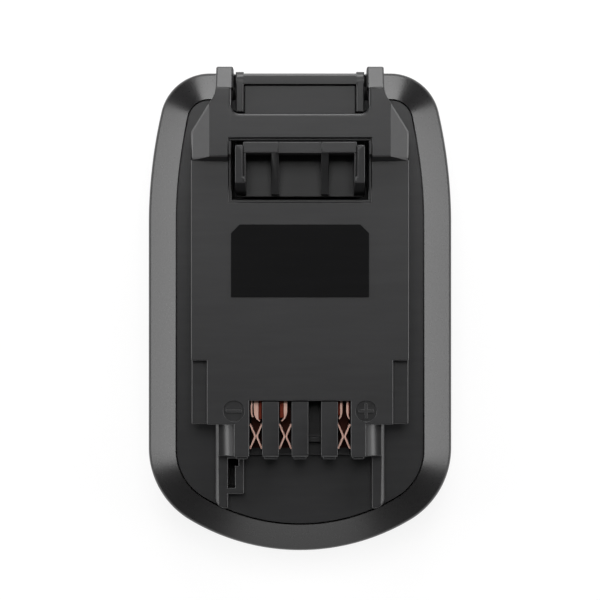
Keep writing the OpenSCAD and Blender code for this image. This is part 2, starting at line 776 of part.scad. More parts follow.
// Sprung contact: a base strip, two walls and two leaves that pinch the tool's blade
module sprung_contact(x, strips) color(copper) {
    wall_x = strip_w / 2;
    leaf_front_y = block_y + leaf_gap;
    leaf_mid_y = leaf_front_y + leaf_l / 2;
    leaf_back_y = leaf_front_y + leaf_l;
    wall_y = slot_y - contact_wall_l;
    top_z = carrier_floor_z + leaf_h;
    pinch_x = pinch_gap / 2;
    translate([x, 0, 0]) {
        box([-wall_x, wall_x], [leaf_front_y, tail_y], [carrier_floor_z, carrier_floor_z + strip_t]);
        both_sides() translate([0, 0, carrier_floor_z]) linear_extrude(leaf_h) polygon([
            [wall_x, leaf_front_y], [pinch_x + strip_t, leaf_mid_y], [wall_x, leaf_back_y],
            [wall_x - strip_t, leaf_back_y], [pinch_x, leaf_mid_y + strip_t / 2],
            [pinch_x, leaf_mid_y - strip_t / 2], [wall_x - strip_t, leaf_front_y]
        ]);
        for (strip = strips) box(strip, [wall_y, carrier_y - cut], [carrier_floor_z, top_z]);
    }
}

// Each contact's upright strips, from left to right across its slot
side_strip = strip_w / 2;
module contact_negative() {
    sprung_contact(-power_slot_x, [[-side_strip, strip_t - side_strip], [-strip_t, strip_t]]);
}
module contact_signal() sprung_contact(signal_slot_x, [[-strip_t, strip_t]]);
module contact_positive() {
    sprung_contact(power_slot_x, [[-side_strip, strip_t - side_strip], [side_strip - strip_t, side_strip]]);
}

// Pan-head screw pointing up, with a cross recess in its head
module pan_screw(place, seat, d, l, head_d, head_h) {
    arm = head_d / 2 - recess_rim;
    difference() {
        union() {
            rod(place, head_d / 2, [seat - head_h, seat]);
            rod(place, d / 2, [seat - head_h / 2, seat + l]);
        }
        for (turn = [0, 90]) translate([place.x, place.y, seat - head_h]) rotate(turn)
            box([-arm, arm], [-recess_w / 2, recess_w / 2], [-cut, recess_depth]);
    }
}

module housing_screws() color(steel) {
    for (p = screw_places) pan_screw(p, screw_seat_z, screw_d, screw_l, screw_head_d, screw_head_h);
}

module carrier_screws() color(steel) {
    for (x = [-small_boss_x, small_boss_x])
        pan_screw([x, carrier_screw_y], seat_z, small_screw_d, small_screw_l, small_head_d, small_head_h);
}

module holder_screws() color(steel) {
    for (x = [-holder_screw_x, holder_screw_x]) translate([x, holder_screw_y, roof_z]) rotate([180, 0, 0])
        pan_screw([0, 0], 0, small_screw_d, small_screw_l, small_head_d, small_head_h);
}

// Thumb button, hook bar, cheeks and ribs of the latch, all on one base
module release_latch() color("#404041") {
    x = latch_w / 2;
    z0 = latch_top_z - cut;
    rib_x = latch_rib_gap / 2;
    rib_y = latch_y + latch_rib_setback;
    difference() {
        union() {
            box([-x, x], [latch_y, bar_end_y - button_bar_l + cut], [latch_z, latch_top_z]);
            both_sides() {
                side_profile([cheek_x - hook_lean, x], [
                    [latch_y, z0], [latch_y + cheek_front_l, hook_z - hook_step - cheek_fall],
                    [hook_back_y - hook_lean - cheek_setback, hook_z - hook_step], [hook_back_y, z0]
                ]);
                side_profile([rib_x, rib_x + latch_rib_t], [
                    [rib_y, z0], [rib_y, latch_top_z + latch_rib_h],
                    [hook_bar_y + cut, hook_z - latch_rib_drop], [hook_bar_y + cut, z0]
                ]);
                box([x - stop_w, x], [bridge_y + stop_setback, bridge_back_y - stop_setback],
                    [z0, bridge_z - fit]);
                rod([post_x, post_y], post_bore_r + latch_boss_wall, [z0, latch_boss_z]);
                button_rib();
            }
            hook_bar(cheek_x, hook_z - hook_step);
            hook_bar(hook_mid_w / 2, hook_z);
            box([-cheek_x - cut, cheek_x + cut], [button_y, bar_end_y], [z0, button_z - panel_depth]);
            box([-cheek_x - cut, cheek_x + cut], [bar_end_y - button_bar_l, bar_end_y],
                [latch_z - bar_skirt, button_z]);
        }
        both_sides() rod([post_x, post_y], post_bore_r,
            [latch_z - cut, post_top_z + latch_travel + post_room]);
    }
}

module hook_bar(half, top_z) {
    side_profile([-half, half], [
        [hook_bar_y, latch_top_z - cut], [hook_bar_y, top_z], [hook_bar_y + hook_l, top_z],
        [hook_back_y, bridge_z], [hook_back_y, latch_top_z - cut]
    ]);
}

// Side rib of the thumb button, its outer end rounded
module button_rib() {
    side_profile([cheek_x, latch_w / 2], concat(
        [[button_y, latch_z], [button_end_y, latch_z]],
        arc([button_end_y - button_r, button_z - button_r], button_r, 0, 90, 0, 8),
        [[button_y, button_z]]
    ));
}

module guide_posts() color(steel) {
    for (x = [-post_x, post_x]) rod([x, post_y], post_d / 2, [post_foot_z, post_top_z]);
}

// Latch springs, as open coils round the guide posts
rings_per_turn = 8;
spring_rise = spring_l - spring_wire;
spring_points = [
    for (i = [0:spring_turns * rings_per_turn]) let (a = 360 * i / rings_per_turn) [
        spring_mean_r * cos(a), spring_mean_r * sin(a),
        spring_pad_z + spring_wire / 2 + spring_rise * i / (spring_turns * rings_per_turn)
    ]
];
spring_self_gap = min([
    for (i = [0:len(spring_points) - 1], j = [i + rings_per_turn - 2:len(spring_points) - 1])
        norm(spring_points[i] - spring_points[j])
]) - spring_wire;
echo(spring_self_gap = spring_self_gap);

module latch_springs() color(steel) {
    for (x = [-post_x, post_x]) translate([x, post_y, 0])
        tube(spring_points, spring_wire / 2, 6, [0, 0, 1]);
}

module battery_receiver() color("#343435") {
    wall_x = channel_w / 2 + channel_wall;
    end_y = channel_y - channel_wall;
    catch_y = spring_front_y + catch_gap;
    foot_x = board_w / 2 - board_foot_inset;
    difference() {
        union() {
            intersection() {
                slab(receiver_inset, [0, channel_h]);
                union() {
                    box([-half_w, half_w], [nose_y, mouth_y], [0, channel_lip_h]);
                    box([-half_w, half_w], [nose_y, mouth_y], [channel_h - receiver_flange, channel_h]);
                    box([-wall_x, wall_x], [end_y, mouth_y], [0, channel_h]);
                }
            }
            slab(cavity_inset + fit, [channel_h - cut, roof_z]);
            for (p = screw_places) rod(p, boss_d / 2, [roof_z - cut, pad_z]);
            for (x = [-post_x, post_x])
                rod([x, post_y], spring_d / 2 + spring_pad_rim, [roof_z - cut, spring_pad_z]);
            for (x = [-foot_x, foot_x], y = [board_foot_inset, board_l - board_foot_inset])
                rod([x, board_y + y], board_foot_r, [roof_z - cut, board_z]);
        }
        box([-channel_w / 2, channel_w / 2], [channel_y, mouth_y + cut], [channel_lip_h, channel_h]);
        box([-channel_gap / 2, channel_gap / 2], [channel_y, mouth_y + cut], [-cut, channel_lip_h + cut]);
        box([-catch_w / 2, catch_w / 2], [catch_y, catch_y + catch_l], [channel_h - cut, roof_z + cut]);
        for (p = screw_places) {
            rod(p, screw_head_d / 2 + fit, [channel_h - cut, screw_seat_z]);
            rod(p, screw_d / 2 + hole_fit, [screw_seat_z - cut, pad_z + cut]);
        }
        for (x = [-post_x, post_x]) rod([x, post_y], post_bore_r, [post_foot_z, spring_pad_z + cut]);
        for (x = [-holder_screw_x, holder_screw_x])
            rod([x, holder_screw_y], small_screw_d / 2 + hole_fit, [channel_h - cut, roof_z + cut]);
        for (x = [-blade_x, -signal_blade_x, blade_x]) blade_slot(x, [channel_h - cut, roof_z + cut]);
    }
}

// Room for a blade's tail
module blade_slot(x, z) {
    box([x - blade_t / 2 - hole_fit, x + blade_t / 2 + hole_fit],
        [blade_tail_y - hole_fit, blade_tail_y + blade_tail_l + hole_fit], z);
}

module blade_holder() color("#262627") {
    difference() {
        box([-holder_w / 2, holder_w / 2], [channel_y, holder_y], [channel_lip_h + fit, channel_h]);
        for (x = [-blade_x, -signal_blade_x, blade_x]) {
            blade_slot(x, [blade_z, channel_h + cut]);
            box([x - blade_t / 2 - hole_fit, x + blade_t / 2 + hole_fit],
                [blade_tail_y - hole_fit, holder_y + cut],
                [blade_z - blade_h / 2 - hole_fit, blade_z + blade_h / 2 + hole_fit]);
        }
        for (x = [-holder_screw_x, holder_screw_x]) rod([x, holder_screw_y], small_screw_d / 2 + hole_fit,
            [roof_z - small_screw_l - cut, channel_h + cut]);
    }
}

// Flat blade for the battery's terminals: a chamfered tongue and an upright tail
module blade(x) color(copper) {
    low = blade_z - blade_h / 2;
    high = blade_z + blade_h / 2;
    tip = holder_y + blade_reach;
    side_profile([x - blade_t / 2, x + blade_t / 2], [
        [blade_tail_y, low], [tip - blade_chamfer, low], [tip, low + blade_chamfer],
        [tip, high - blade_chamfer], [tip - blade_chamfer, high],
        [blade_tail_y + blade_tail_l, high], [blade_tail_y + blade_tail_l, blade_tail_z],
        [blade_tail_y, blade_tail_z]
    ]);
}

module blade_negative() blade(-blade_x);
module blade_signal() blade(-signal_blade_x);
module blade_positive() blade(blade_x);

// Routes of the leads: straight stubs at the ends, bends and long runs above the roof
stub_l = 1.5;
loop_l = 6;
run_l = 5;
pin_y = board_y + 2.5;
power_run_z = roof_z + 2.3;
signal_run_z = roof_z + 1.3;
board_mid_z = board_z + board_t / 2;

// Power lead: from the contact's tail round and down, then under the floor to the blade's tail
function power_route(side) = curve([
    [side * power_slot_x, tail_y, tail_z], [side * power_slot_x, tail_y + stub_l, tail_z],
    [side * power_slot_x, tail_y + 2 * stub_l, tail_z],
    [side * power_slot_x, tail_y + loop_l, (tail_z + power_run_z) / 2],
    [side * power_slot_x, tail_y + 2 * stub_l, power_run_z],
    [side * power_slot_x, tail_y - run_l, power_run_z],
    [side * blade_x, blade_tail_y + 2 * run_l, power_run_z],
    [side * blade_x, blade_tail_y + run_l, power_run_z],
    [side * blade_x, blade_tail_y + blade_tail_l, power_run_z]
], 4);

function signal_tool_route() = curve([
    [signal_slot_x, tail_y, tail_z], [signal_slot_x, tail_y + stub_l, tail_z],
    [signal_slot_x, tail_y + 2 * stub_l, tail_z], [signal_slot_x, board_y, board_top_z + 3 * stub_l],
    [signal_slot_x, pin_y, board_top_z + 2 * stub_l], [signal_slot_x, pin_y, board_top_z + stub_l],
    [signal_slot_x, pin_y, board_top_z]
], 4);

function signal_battery_route() = curve([
    [-signal_blade_x, board_y, board_mid_z], [-signal_blade_x, board_y - stub_l, board_mid_z],
    [-signal_blade_x, board_y - 2 * stub_l, board_mid_z],
    [-signal_blade_x, board_y - 2 * run_l, signal_run_z],
    [-signal_blade_x, board_y - 4 * run_l, signal_run_z],
    [-signal_blade_x, blade_tail_y + 2 * run_l, signal_run_z],
    [-signal_blade_x, blade_tail_y + run_l, signal_run_z],
    [-signal_blade_x, blade_tail_y + blade_tail_l, signal_run_z]
], 4);

module lead_negative() color("#1d1d1e") tube(power_route(-1), power_lead_d / 2, 8, [1, 0, 0]);
module lead_positive() color("#9c2b23") tube(power_route(1), power_lead_d / 2, 8, [1, 0, 0]);
module lead_signal_tool() color("#d8d4c8") tube(signal_tool_route(), signal_lead_d / 2, 8, [1, 0, 0]);
module lead_signal_battery() color("#d8d4c8") tube(signal_battery_route(), signal_lead_d / 2, 8, [1, 0, 0]);

module coding_board() color("#2f6b45") {
    box([-board_w / 2, board_w / 2], [board_y, board_y + board_l], [board_z, board_top_z]);
}

module coding_resistors() color("#20242c") {
    for (x = [resistor_x, resistor_x + resistor_pitch]) translate([x, board_y + board_l / 2, board_top_z])
        box([-resistor_w / 2, resistor_w / 2], [-resistor_l / 2, resistor_l / 2], [0, resistor_h]);
}

outer_casing();
interface_cover();
label_plate();
contact_carrier();
contact_negative();
contact_signal();
contact_positive();
carrier_screws();
release_latch();
guide_posts();
latch_springs();
battery_receiver();
blade_holder();
blade_negative();
blade_signal();
blade_positive();
holder_screws();
lead_negative();
lead_positive();
lead_signal_tool();
lead_signal_battery();
coding_board();
coding_resistors();
housing_screws();
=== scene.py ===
# %% [markdown]
# # A tool battery adapter
# The real thing is a palm-sized black moulding that lets a cordless tool take a battery pack of
# another system. A casing with a sloping rim holds a cover with slide rails, a comb of sprung
# contacts and a push-down latch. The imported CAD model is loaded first, as a fixed frame: it gives
# every place and size, and the looks are then built round it.

# %% Load the frame
import math

import bmesh
import bpy
from mathutils import Matrix, Vector


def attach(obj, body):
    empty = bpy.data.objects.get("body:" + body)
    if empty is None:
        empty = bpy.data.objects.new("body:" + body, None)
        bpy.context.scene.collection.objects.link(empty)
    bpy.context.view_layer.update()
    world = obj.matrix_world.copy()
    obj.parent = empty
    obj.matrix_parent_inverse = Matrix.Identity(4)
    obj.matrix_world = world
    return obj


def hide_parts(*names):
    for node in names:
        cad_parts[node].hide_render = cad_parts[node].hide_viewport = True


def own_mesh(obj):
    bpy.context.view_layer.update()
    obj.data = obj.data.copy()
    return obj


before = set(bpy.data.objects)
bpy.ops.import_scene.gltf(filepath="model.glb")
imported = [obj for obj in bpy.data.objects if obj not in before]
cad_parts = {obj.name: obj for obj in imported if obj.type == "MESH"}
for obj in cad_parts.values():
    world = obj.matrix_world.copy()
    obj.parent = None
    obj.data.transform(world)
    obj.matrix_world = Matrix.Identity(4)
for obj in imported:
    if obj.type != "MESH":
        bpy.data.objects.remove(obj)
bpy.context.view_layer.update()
scene = bpy.context.scene
MM = 0.001

# %% [markdown]
# ## Camera
# The photograph looks straight down from about arm's length. A long lens keeps the sides almost
# parallel, and the small shift along Y puts the part where it lies in the picture. Depth of field
# stays off, because a product picture is sharp all over.

# %% The camera over the part
EYE = (0.0, 2.95 * MM, 600 * MM)
camera = bpy.data.objects.new("camera", bpy.data.cameras.new("camera"))
camera.location = EYE
camera.data.lens = 140.2
camera.data.sensor_width = 36
camera.data.clip_start = 0.01
camera.data.clip_end = 20
scene.collection.objects.link(camera)
scene.camera = camera
print("camera looks down from", EYE)

# %% [markdown]
# ## Lights
# Black plastic shows its shape by what it mirrors. The photograph has bright strips along both
# sides of the rim and dark corners between them, so low softboxes stand left, right, behind and in
# front, with gaps at the diagonals, and one more hangs high up behind, which gives the flat faces
# their grey and the hook its short shadow. The lamps are out of the camera's sight, as the stands
# are in a studio.

# %% Softboxes and world
CENTRE = Vector((0, 0, 25 * MM))


def softbox(name, azimuth, elevation, distance, width, height, radiance):
    """An area lamp that faces the part; radiance is the brightness of its face."""
    lamp = bpy.data.lights.new(name, "AREA")
    lamp.shape = "RECTANGLE"
    lamp.size, lamp.size_y = width, height
    lamp.energy = radiance * math.pi * width * height
    lamp_object = bpy.data.objects.new(name, lamp)
    a, e = math.radians(azimuth), math.radians(elevation)
    out = Vector((math.cos(e) * math.cos(a), math.cos(e) * math.sin(a), math.sin(e)))
    lamp_object.location = CENTRE + distance * out
    lamp_object.rotation_euler = out.to_track_quat("Z", "Y").to_euler()
    lamp_object.visible_camera = False
    scene.collection.objects.link(lamp_object)


SOFTBOXES = {  # azimuth and elevation in degrees, distance, width and height in metres, radiance
    "softbox_right": (5, 19.5, 1.0, 0.86, 0.5, 6.8),
    "softbox_left": (175, 19.5, 1.0, 0.86, 0.5, 6.8),
    "softbox_back": (90, 16, 1.0, 0.7, 0.45, 8.7),
    "softbox_front": (-90, 16, 1.0, 0.7, 0.4, 2.4),
    "softbox_top": (90, 70, 1.2, 0.6, 0.5, 4.9),
}
for name, setting in SOFTBOXES.items():
    softbox(name, *setting)

DUSK = 0.03  # grey of the room behind the lamps
world = bpy.data.worlds.new("studio_dusk")
scene.world = world
world.use_nodes = True
world.node_tree.nodes["Background"].inputs["Color"].default_value = (DUSK, DUSK, DUSK, 1)
scene.view_settings.view_transform = "Standard"

# %% [markdown]
# ## Helpers for the finishes
# Colours are written as on a colour card, in sRGB hex, and one function turns them to the linear
# values that the shaders take. One more function adds a node with its settings and links, so that
# each material reads as a short list.


# %% Colour and node helpers
def linear(code):
    """sRGB hex to a linear RGBA tuple."""
    parts = [int(code[i:i + 2], 16) / 255 for i in (1, 3, 5)]
    return tuple(c / 12.92 if c <= 0.04045 else ((c + 0.055) / 1.055) ** 2.4 for c in parts) + (1.0,)


def add(tree, kind, feeds=None, **settings):
    """A node of that kind, with its settings, and with values or links on its sockets."""
    made = tree.nodes.new("ShaderNode" + kind)
    for name, value in settings.items():
        setattr(made, name, value)
    for socket, value in (feeds or {}).items():
        if isinstance(value, bpy.types.NodeSocket):
            tree.links.new(value, made.inputs[socket])
        else:
            made.inputs[socket].default_value = value
    return made


def new_material(name, **sockets):
    """A material with its Principled shader, constant values set on the shader's own sockets."""
    made = bpy.data.materials.new(name)
    made.use_nodes = True
    shader = made.node_tree.nodes["Principled BSDF"]
    for socket, value in sockets.items():
        shader.inputs[socket.replace("_", " ")].default_value = value
    return made, made.node_tree, shader


print("mid grey in linear light", [round(c, 3) for c in linear("#808080")])

# %% [markdown]
# ## Floor
# A plain pale sheet of paper, large enough to fill the background from any side. It glows only for
# the camera and for what mirrors it, so that the background is white and the part's shadow stays.

# %% The floor sheet
GLOW, FLOOR_HALF, FLOOR_GAP = 0.8, 3.0, 0.02 * MM  # strength, half its width and the gap under the part
paper, tree, shader = new_material("matt_paper", Roughness=0.9)
shader.inputs["Base Color"].default_value = linear("#808080")
shader.inputs["Emission Color"].default_value = linear("#ffffff")
rays = add(tree, "LightPath")
direct, mirrored = rays.outputs["Is Camera Ray"], rays.outputs["Is Glossy Ray"]
seen = add(tree, "Math", {0: direct, 1: mirrored}, operation="ADD")
through = {0: seen.outputs[0], 1: rays.outputs["Is Transmission Ray"]}
seen = add(tree, "Math", through, operation="ADD", use_clamp=True)
glow = add(tree, "Math", {0: seen.outputs[0], 1: GLOW}, operation="MULTIPLY")
tree.links.new(glow.outputs[0], shader.inputs["Emission Strength"])
bm = bmesh.new()
bmesh.ops.create_grid(bm, x_segments=1, y_segments=1, size=FLOOR_HALF)
bmesh.ops.translate(bm, verts=bm.verts, vec=(0, 0, -FLOOR_GAP))
mesh = bpy.data.meshes.new("floor_sheet")
bm.to_mesh(mesh)
bm.free()
floor = bpy.data.objects.new("floor_sheet", mesh)
floor.data.materials.append(paper)
scene.collection.objects.link(floor)
print("floor", floor.dimensions[:])

# %% [markdown]
# ## Moulded plastics
# Casing, cover, latch, carrier, receiver and blade holder are glass-filled nylon, moulded in
# spark-eroded steel: the tool's fine pits give a satin skin with a soft, wide gleam, and the melt
# leaves faint streaks across the part. The grain is about 0.15 mm on the real part, and is drawn at
# 0.4 mm so that it shows. The casing is smoother than the cover, so its rim gleams more sharply. The
# bare label is a matt black polyester film that gives back very little light.


# %% The satin plastics
FLOW_MM, FLOW_STRETCH = 1.5, 0.12  # width of a flow streak, and its scale along X


def moulded_plastic(name, dark, light, roughness, grain_mm, depth_mm):
    """Satin moulded plastic: faint flow streaks, a fine pitted grain and slightly uneven gloss."""
    made, tree, shader = new_material(name, IOR=1.46)
    place = add(tree, "TexCoord").outputs["Object"]
    flow = add(tree, "Mapping", {"Vector": place, "Scale": (FLOW_STRETCH, 1, 1)}).outputs["Vector"]
    cloud = add(tree, "TexNoise", {"Vector": flow, "Scale": 1 / (FLOW_MM * MM), "Detail": 3.0})
    grain = add(tree, "TexNoise", {"Vector": place, "Scale": 1 / (grain_mm * MM), "Detail": 2.0})
    tone = add(tree, "ValToRGB", {"Fac": cloud.outputs["Fac"]})
    tone.color_ramp.elements[0].position, tone.color_ramp.elements[0].color = 0.35, linear(dark)
    tone.color_ramp.elements[1].position, tone.color_ramp.elements[1].color = 0.65, linear(light)
    spread = {"Value": grain.outputs["Fac"], "To Min": roughness - 0.02, "To Max": roughness + 0.02}
    gloss = add(tree, "MapRange", spread)
    pits = {"Height": grain.outputs["Fac"], "Distance": depth_mm * MM, "Strength": 0.6}
    relief = add(tree, "Bump", pits)
    tree.links.new(tone.outputs["Color"], shader.inputs["Base Color"])
    tree.links.new(gloss.outputs["Result"], shader.inputs["Roughness"])
    tree.links.new(relief.outputs["Normal"], shader.inputs["Normal"])
    return made


finish = {  # darkest and lightest colour, roughness, width and depth of the grain in millimetres
    "casing": moulded_plastic("nylon_casing_black", "#0d0c0d", "#100f10", 0.28, 0.4, 0.0008),
    "cover": moulded_plastic("nylon_cover_black", "#202021", "#242425", 0.38, 0.4, 0.008),
    "latch": moulded_plastic("nylon_latch_black", "#1d1d1e", "#212122", 0.38, 0.4, 0.008),
    "inner": moulded_plastic("nylon_receiver_black", "#2b2b2c", "#2f2f30", 0.46, 0.4, 0.015),
    "label": moulded_plastic("polyester_film_black", "#080809", "#0a0a0b", 0.5, 0.6, 0.004),
}
finish["label"].node_tree.nodes["Principled BSDF"].inputs["Specular IOR Level"].default_value = 0.1
print("plastics", [m.name for m in finish.values()])

# %% [markdown]
# ## Metals
# The contacts and blades are stamped from copper alloy strip. Where the press has sheared the
# contacts' upper edges, and the tool's blades wipe them, they are pale and bright. Deep in the slots
# the contacts' colour is darkened to a red-brown and then near black, as painted shade. Screws,
# posts and springs are zinc-plated steel. The lines that rolling and drawing leave are finer on the
# real metal, and are drawn 0.3 mm wide so that they show.


# %% The metals
LINE_STRETCH = 0.08  # scale of the rolling lines along Y, which draws them out


def rolled_metal(name, dark, light, roughness, line_mm, painted_shade=()):
    """Rolled or drawn metal: fine lines along Y, uneven gloss, and painted shade that deepens downwards."""
    made, tree, shader = new_material(name, Metallic=1.0)
    place = add(tree, "TexCoord").outputs["Object"]
    drawn = add(tree, "Mapping", {"Vector": place, "Scale": (1, LINE_STRETCH, 1)})
    pitch = {"Vector": drawn.outputs["Vector"], "Scale": 1 / (line_mm * MM), "Detail": 2.0}
    lines = add(tree, "TexNoise", pitch)
    tone = add(tree, "ValToRGB", {"Fac": lines.outputs["Fac"]})
    tone.color_ramp.elements[0].position, tone.color_ramp.elements[0].color = 0.3, linear(dark)
    tone.color_ramp.elements[1].position, tone.color_ramp.elements[1].color = 0.7, linear(light)
    colour = tone.outputs["Color"]
    # Painted shade: below each given height the colour turns to the shade colour.
    for shade_colour, full_mm, none_mm in painted_shade:
        height = add(tree, "SeparateXYZ", {"Vector": place}).outputs["Z"]
        depth = {"Value": height, "From Min": full_mm * MM, "From Max": none_mm * MM}
        unshaded = add(tree, "MapRange", depth).outputs["Result"]
        shaded = add(tree, "Mix", {"Factor": unshaded, "A": linear(shade_colour), "B": colour}, data_type="RGBA")
        colour = shaded.outputs["Result"]
    spread = {"Value": lines.outputs["Fac"], "To Min": roughness - 0.06, "To Max": roughness + 0.08}
    gloss = add(tree, "MapRange", spread)
    tree.links.new(colour, shader.inputs["Base Color"])
    tree.links.new(gloss.outputs["Result"], shader.inputs["Roughness"])
    return made


finish["copper"] = rolled_metal("copper_strip_stamped", "#d59c88", "#e8b9a6", 0.36, 0.3)
# Painted shade that darkens the contacts towards the bottom of their slots.
SLOT_PAINTED_SHADE = [  # painted shade colour, and the heights in millimetres below which it is full and above which there is none
    ("#803b2d", 31.3, 31.95),
    ("#3a221d", 27.0, 30.5),
]
finish["contact"] = rolled_metal("copper_strip_wiped", "#e2b3a2", "#f0cbbd", 0.4, 0.3, SLOT_PAINTED_SHADE)
finish["steel"] = rolled_metal("zinc_plated_steel", "#a9abae", "#c4c6c8", 0.34, 0.3)
print("metals", [finish[look].name for look in ("copper", "contact", "steel")])

# %% [markdown]
# ## Leads and board
# Inside lie three colours of hook-up wire, whose soft vinyl has a waxy gleam, and a small board of
# glass laminate under a green solder mask, which is slightly uneven over the weave. The two resistors
# are black-glazed ceramic chips. All of them take the moulded finish, at a scale of their own.

# %% The inner finishes
finish["black_pvc"] = moulded_plastic("vinyl_lead_black", "#1b1b1c", "#222223", 0.38, 0.8, 0.006)
finish["red_pvc"] = moulded_plastic("vinyl_lead_red", "#a3201c", "#b02722", 0.38, 0.8, 0.006)
finish["white_pvc"] = moulded_plastic("vinyl_lead_white", "#d8d6d0", "#e2e0da", 0.38, 0.8, 0.006)
finish["board"] = moulded_plastic("glass_laminate_green", "#1d4a2c", "#255a36", 0.4, 0.5, 0.008)
finish["resistor"] = moulded_plastic("ceramic_chip_black", "#151516", "#1c1c1d", 0.3, 0.3, 0.004)
print("inner finishes", len(finish))

# %% [markdown]
# ## Pieces that follow the CAD shape
# A mould leaves a small radius on each outer edge, and that radius is what draws the thin bright
# lines in the photograph. The CAD solids are dead sharp, so each one is copied, merged and bevelled
# along its outer edges. Working in millimetres keeps the small bevels well away from rounding
# errors. The flat faces must stay flat to the eye, so inner corners are marked sharp and the bevels
# are given less say in the normals than the faces beside them.


# %% Soften the edges of a copied node
MERGE, SLIVER = 0.002, 0.0005  # millimetres within which vertices are merged, and edges dissolved


def copied(node):
    """The node's mesh in millimetres, merged."""
    bm = bmesh.new()
    bm.from_mesh(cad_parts[node].data)
    bmesh.ops.scale(bm, verts=bm.verts, vec=(1 / MM,) * 3)
    bmesh.ops.remove_doubles(bm, verts=bm.verts, dist=MERGE)
    return bm


def turn(edge):
    """The angle between the edge's two faces, in degrees."""
    return math.degrees(edge.calc_face_angle(0)) if edge.is_manifold else 180.0


def outer_edges(bm, where, least_turn=25):
    """Outer edges that turn enough to show, and whose middle passes the test."""
    found = [e for e in bm.edges if e.is_manifold and e.is_convex and turn(e) > least_turn]
    return [e for e in found if where((e.verts[0].co + e.verts[1].co) / 2)]


def round_off(bm, edges, width, segments=2):
    bmesh.ops.bevel(bm, geom=edges, offset=width, offset_type="OFFSET", segments=segments, profile=0.5,
                    affect="EDGES", clamp_overlap=False, material=-1, face_strength_mode="ALL")


def mark_creases(bm, is_chamfer, outer=50, inner=16):
    """Inner corners, outer ones that were left unbevelled, and chamfers part the shading."""
    for face in bm.faces:
        face.smooth = True
    chamfer = {f for f in bm.faces if is_chamfer(f.calc_center_median(), f.normal)}
    for edge in bm.edges:
        borders = 0 < len(chamfer.intersection(edge.link_faces)) < len(edge.link_faces)
        edge.smooth = not borders and turn(edge) < (outer if edge.is_convex else inner)


print("CAD faces", sum(len(node.data.polygons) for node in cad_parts.values()))

# %% [markdown]
# A finished piece goes back to metres, gets its material, rides on its body and hides the CAD nodes
# it stands for. The same steps serve every piece, so they are one function.


# %% Turn a bmesh into a finished piece
def finish_piece(bm, name, nodes, material, body, is_chamfer=lambda p, n: False):
    """The bmesh, made in millimetres, becomes a piece in metres that stands for its CAD nodes."""
    bmesh.ops.dissolve_degenerate(bm, edges=bm.edges, dist=SLIVER)
    bm.normal_update()
    mark_creases(bm, is_chamfer)
    bmesh.ops.scale(bm, verts=bm.verts, vec=(MM,) * 3)
    mesh = bpy.data.meshes.new(name)
    bm.to_mesh(mesh)
    bm.free()
    mesh.materials.append(material)
    piece = bpy.data.objects.new(name, mesh)
    scene.collection.objects.link(piece)
    flat = piece.modifiers.new("flat_faces", "WEIGHTED_NORMAL")
    flat.keep_sharp = True
    flat.use_face_influence = True
    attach(piece, body)
    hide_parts(*nodes)
    print(name, len(mesh.polygons), "faces")
    return piece


# %% [markdown]
# ## Interface cover
# This is what the eye meets first: the floor, the plate with its rails, and the raised head with two
# prongs. The copied solid already has the main shape. The finer forms are added step by step before
# any edge is rounded, each by cutting a few faces and moving or drawing out what lies between the
# cuts. Three helpers do that.


# %% Helpers to pick, cut and draw out faces
NEAR = 0.05  # places that are closer than this, in millimetres, count as one


def near(value, place):
    return abs(value - place) < NEAR


def pick(bm, where):
    """Faces whose middle and normal pass the test."""
    return [f for f in bm.faces if where(f.calc_center_median(), f.normal)]


def split(bm, faces, point, normal):
    """Cut those faces along a plane."""
    verts = list({v for f in faces for v in f.verts})
    edges = list({e for f in faces for e in f.edges})
    bmesh.ops.bisect_plane(bm, geom=verts + edges + faces, plane_co=point, plane_no=normal)


def raise_faces(bm, faces, by):
    """Draw those faces out, with new walls behind them."""
    made = bmesh.ops.extrude_face_region(bm, geom=faces)["geom"]
    bmesh.ops.delete(bm, geom=faces, context="FACES")
    bmesh.ops.translate(bm, verts=[g for g in made if isinstance(g, bmesh.types.BMVert)], vec=by)


cover = copied("interface_cover")
print("cover", len(cover.faces), "faces")

# %% [markdown]
# ## The head's wings
# On both sides the head slopes down to the rails in a wing. The tones in the photograph suit steeper
# wings and a steeper front than the solid has, so the wings' outer edge is lowered and the foot of
# the slopes is moved back.

# %% Steeper wings
FLOOR_Z, PLATE_Z, HEAD_Z = 23.0, 35.0, 39.0
HEAD_FOOT_Y, FOOT_BACK = 35.9, 0.5
HEAD_TOP_X, WING_X, WING_DROP, WING_FOOT_BACK = 21.8, 26.35, 0.7, 0.8
WING_START_Y, WING_END_Y = HEAD_FOOT_Y + WING_FOOT_BACK + 0.3, 50.5


def by_wing(p, n):
    """The wings' slopes, and the upright faces under them."""
    upright = abs(n.x) > 0.99 and abs(p.x) > WING_X - NEAR
    sloping = 0.5 < abs(n.x) < 0.8 and p.z > PLATE_Z
    return p.y > 0 and abs(n.y) < 0.3 and (upright or sloping)


for v in cover.verts:
    if near(v.co.y, HEAD_FOOT_Y) and near(v.co.z, PLATE_Z):
        v.co.y += WING_FOOT_BACK if abs(v.co.x) > WING_X - NEAR else FOOT_BACK
wings = pick(cover, by_wing)
split(cover, wings, (0, WING_START_Y, 0), (0, 1, 0))
wing_edge = [v for v in cover.verts if near(abs(v.co.x), WING_X) and near(v.co.z, PLATE_Z)
             and v.co.y > WING_START_Y - NEAR]
bmesh.ops.translate(cover, verts=wing_edge, vec=(0, 0, -WING_DROP))
print("wing faces", len(wings), "edge vertices", len(wing_edge))

# %% [markdown]
# A thin light line follows each wing's outline, and a rounded edge alone doesn't give it. So a narrow
# strip is cut off along the outline and its outer vertices are raised. The strip is then less steep
# than the wing and mirrors the lamp at its side.

# %% The strip along the wings' outline
STRIP_W, STRIP_RISE, STRIP_END = 0.42, 0.165, 0.4


def on_wing(p, n):
    sloping = 0.5 < abs(n.x) < 0.8 and abs(n.y) < 0.05
    return sloping and p.y > HEAD_FOOT_Y and p.z > PLATE_Z - WING_DROP


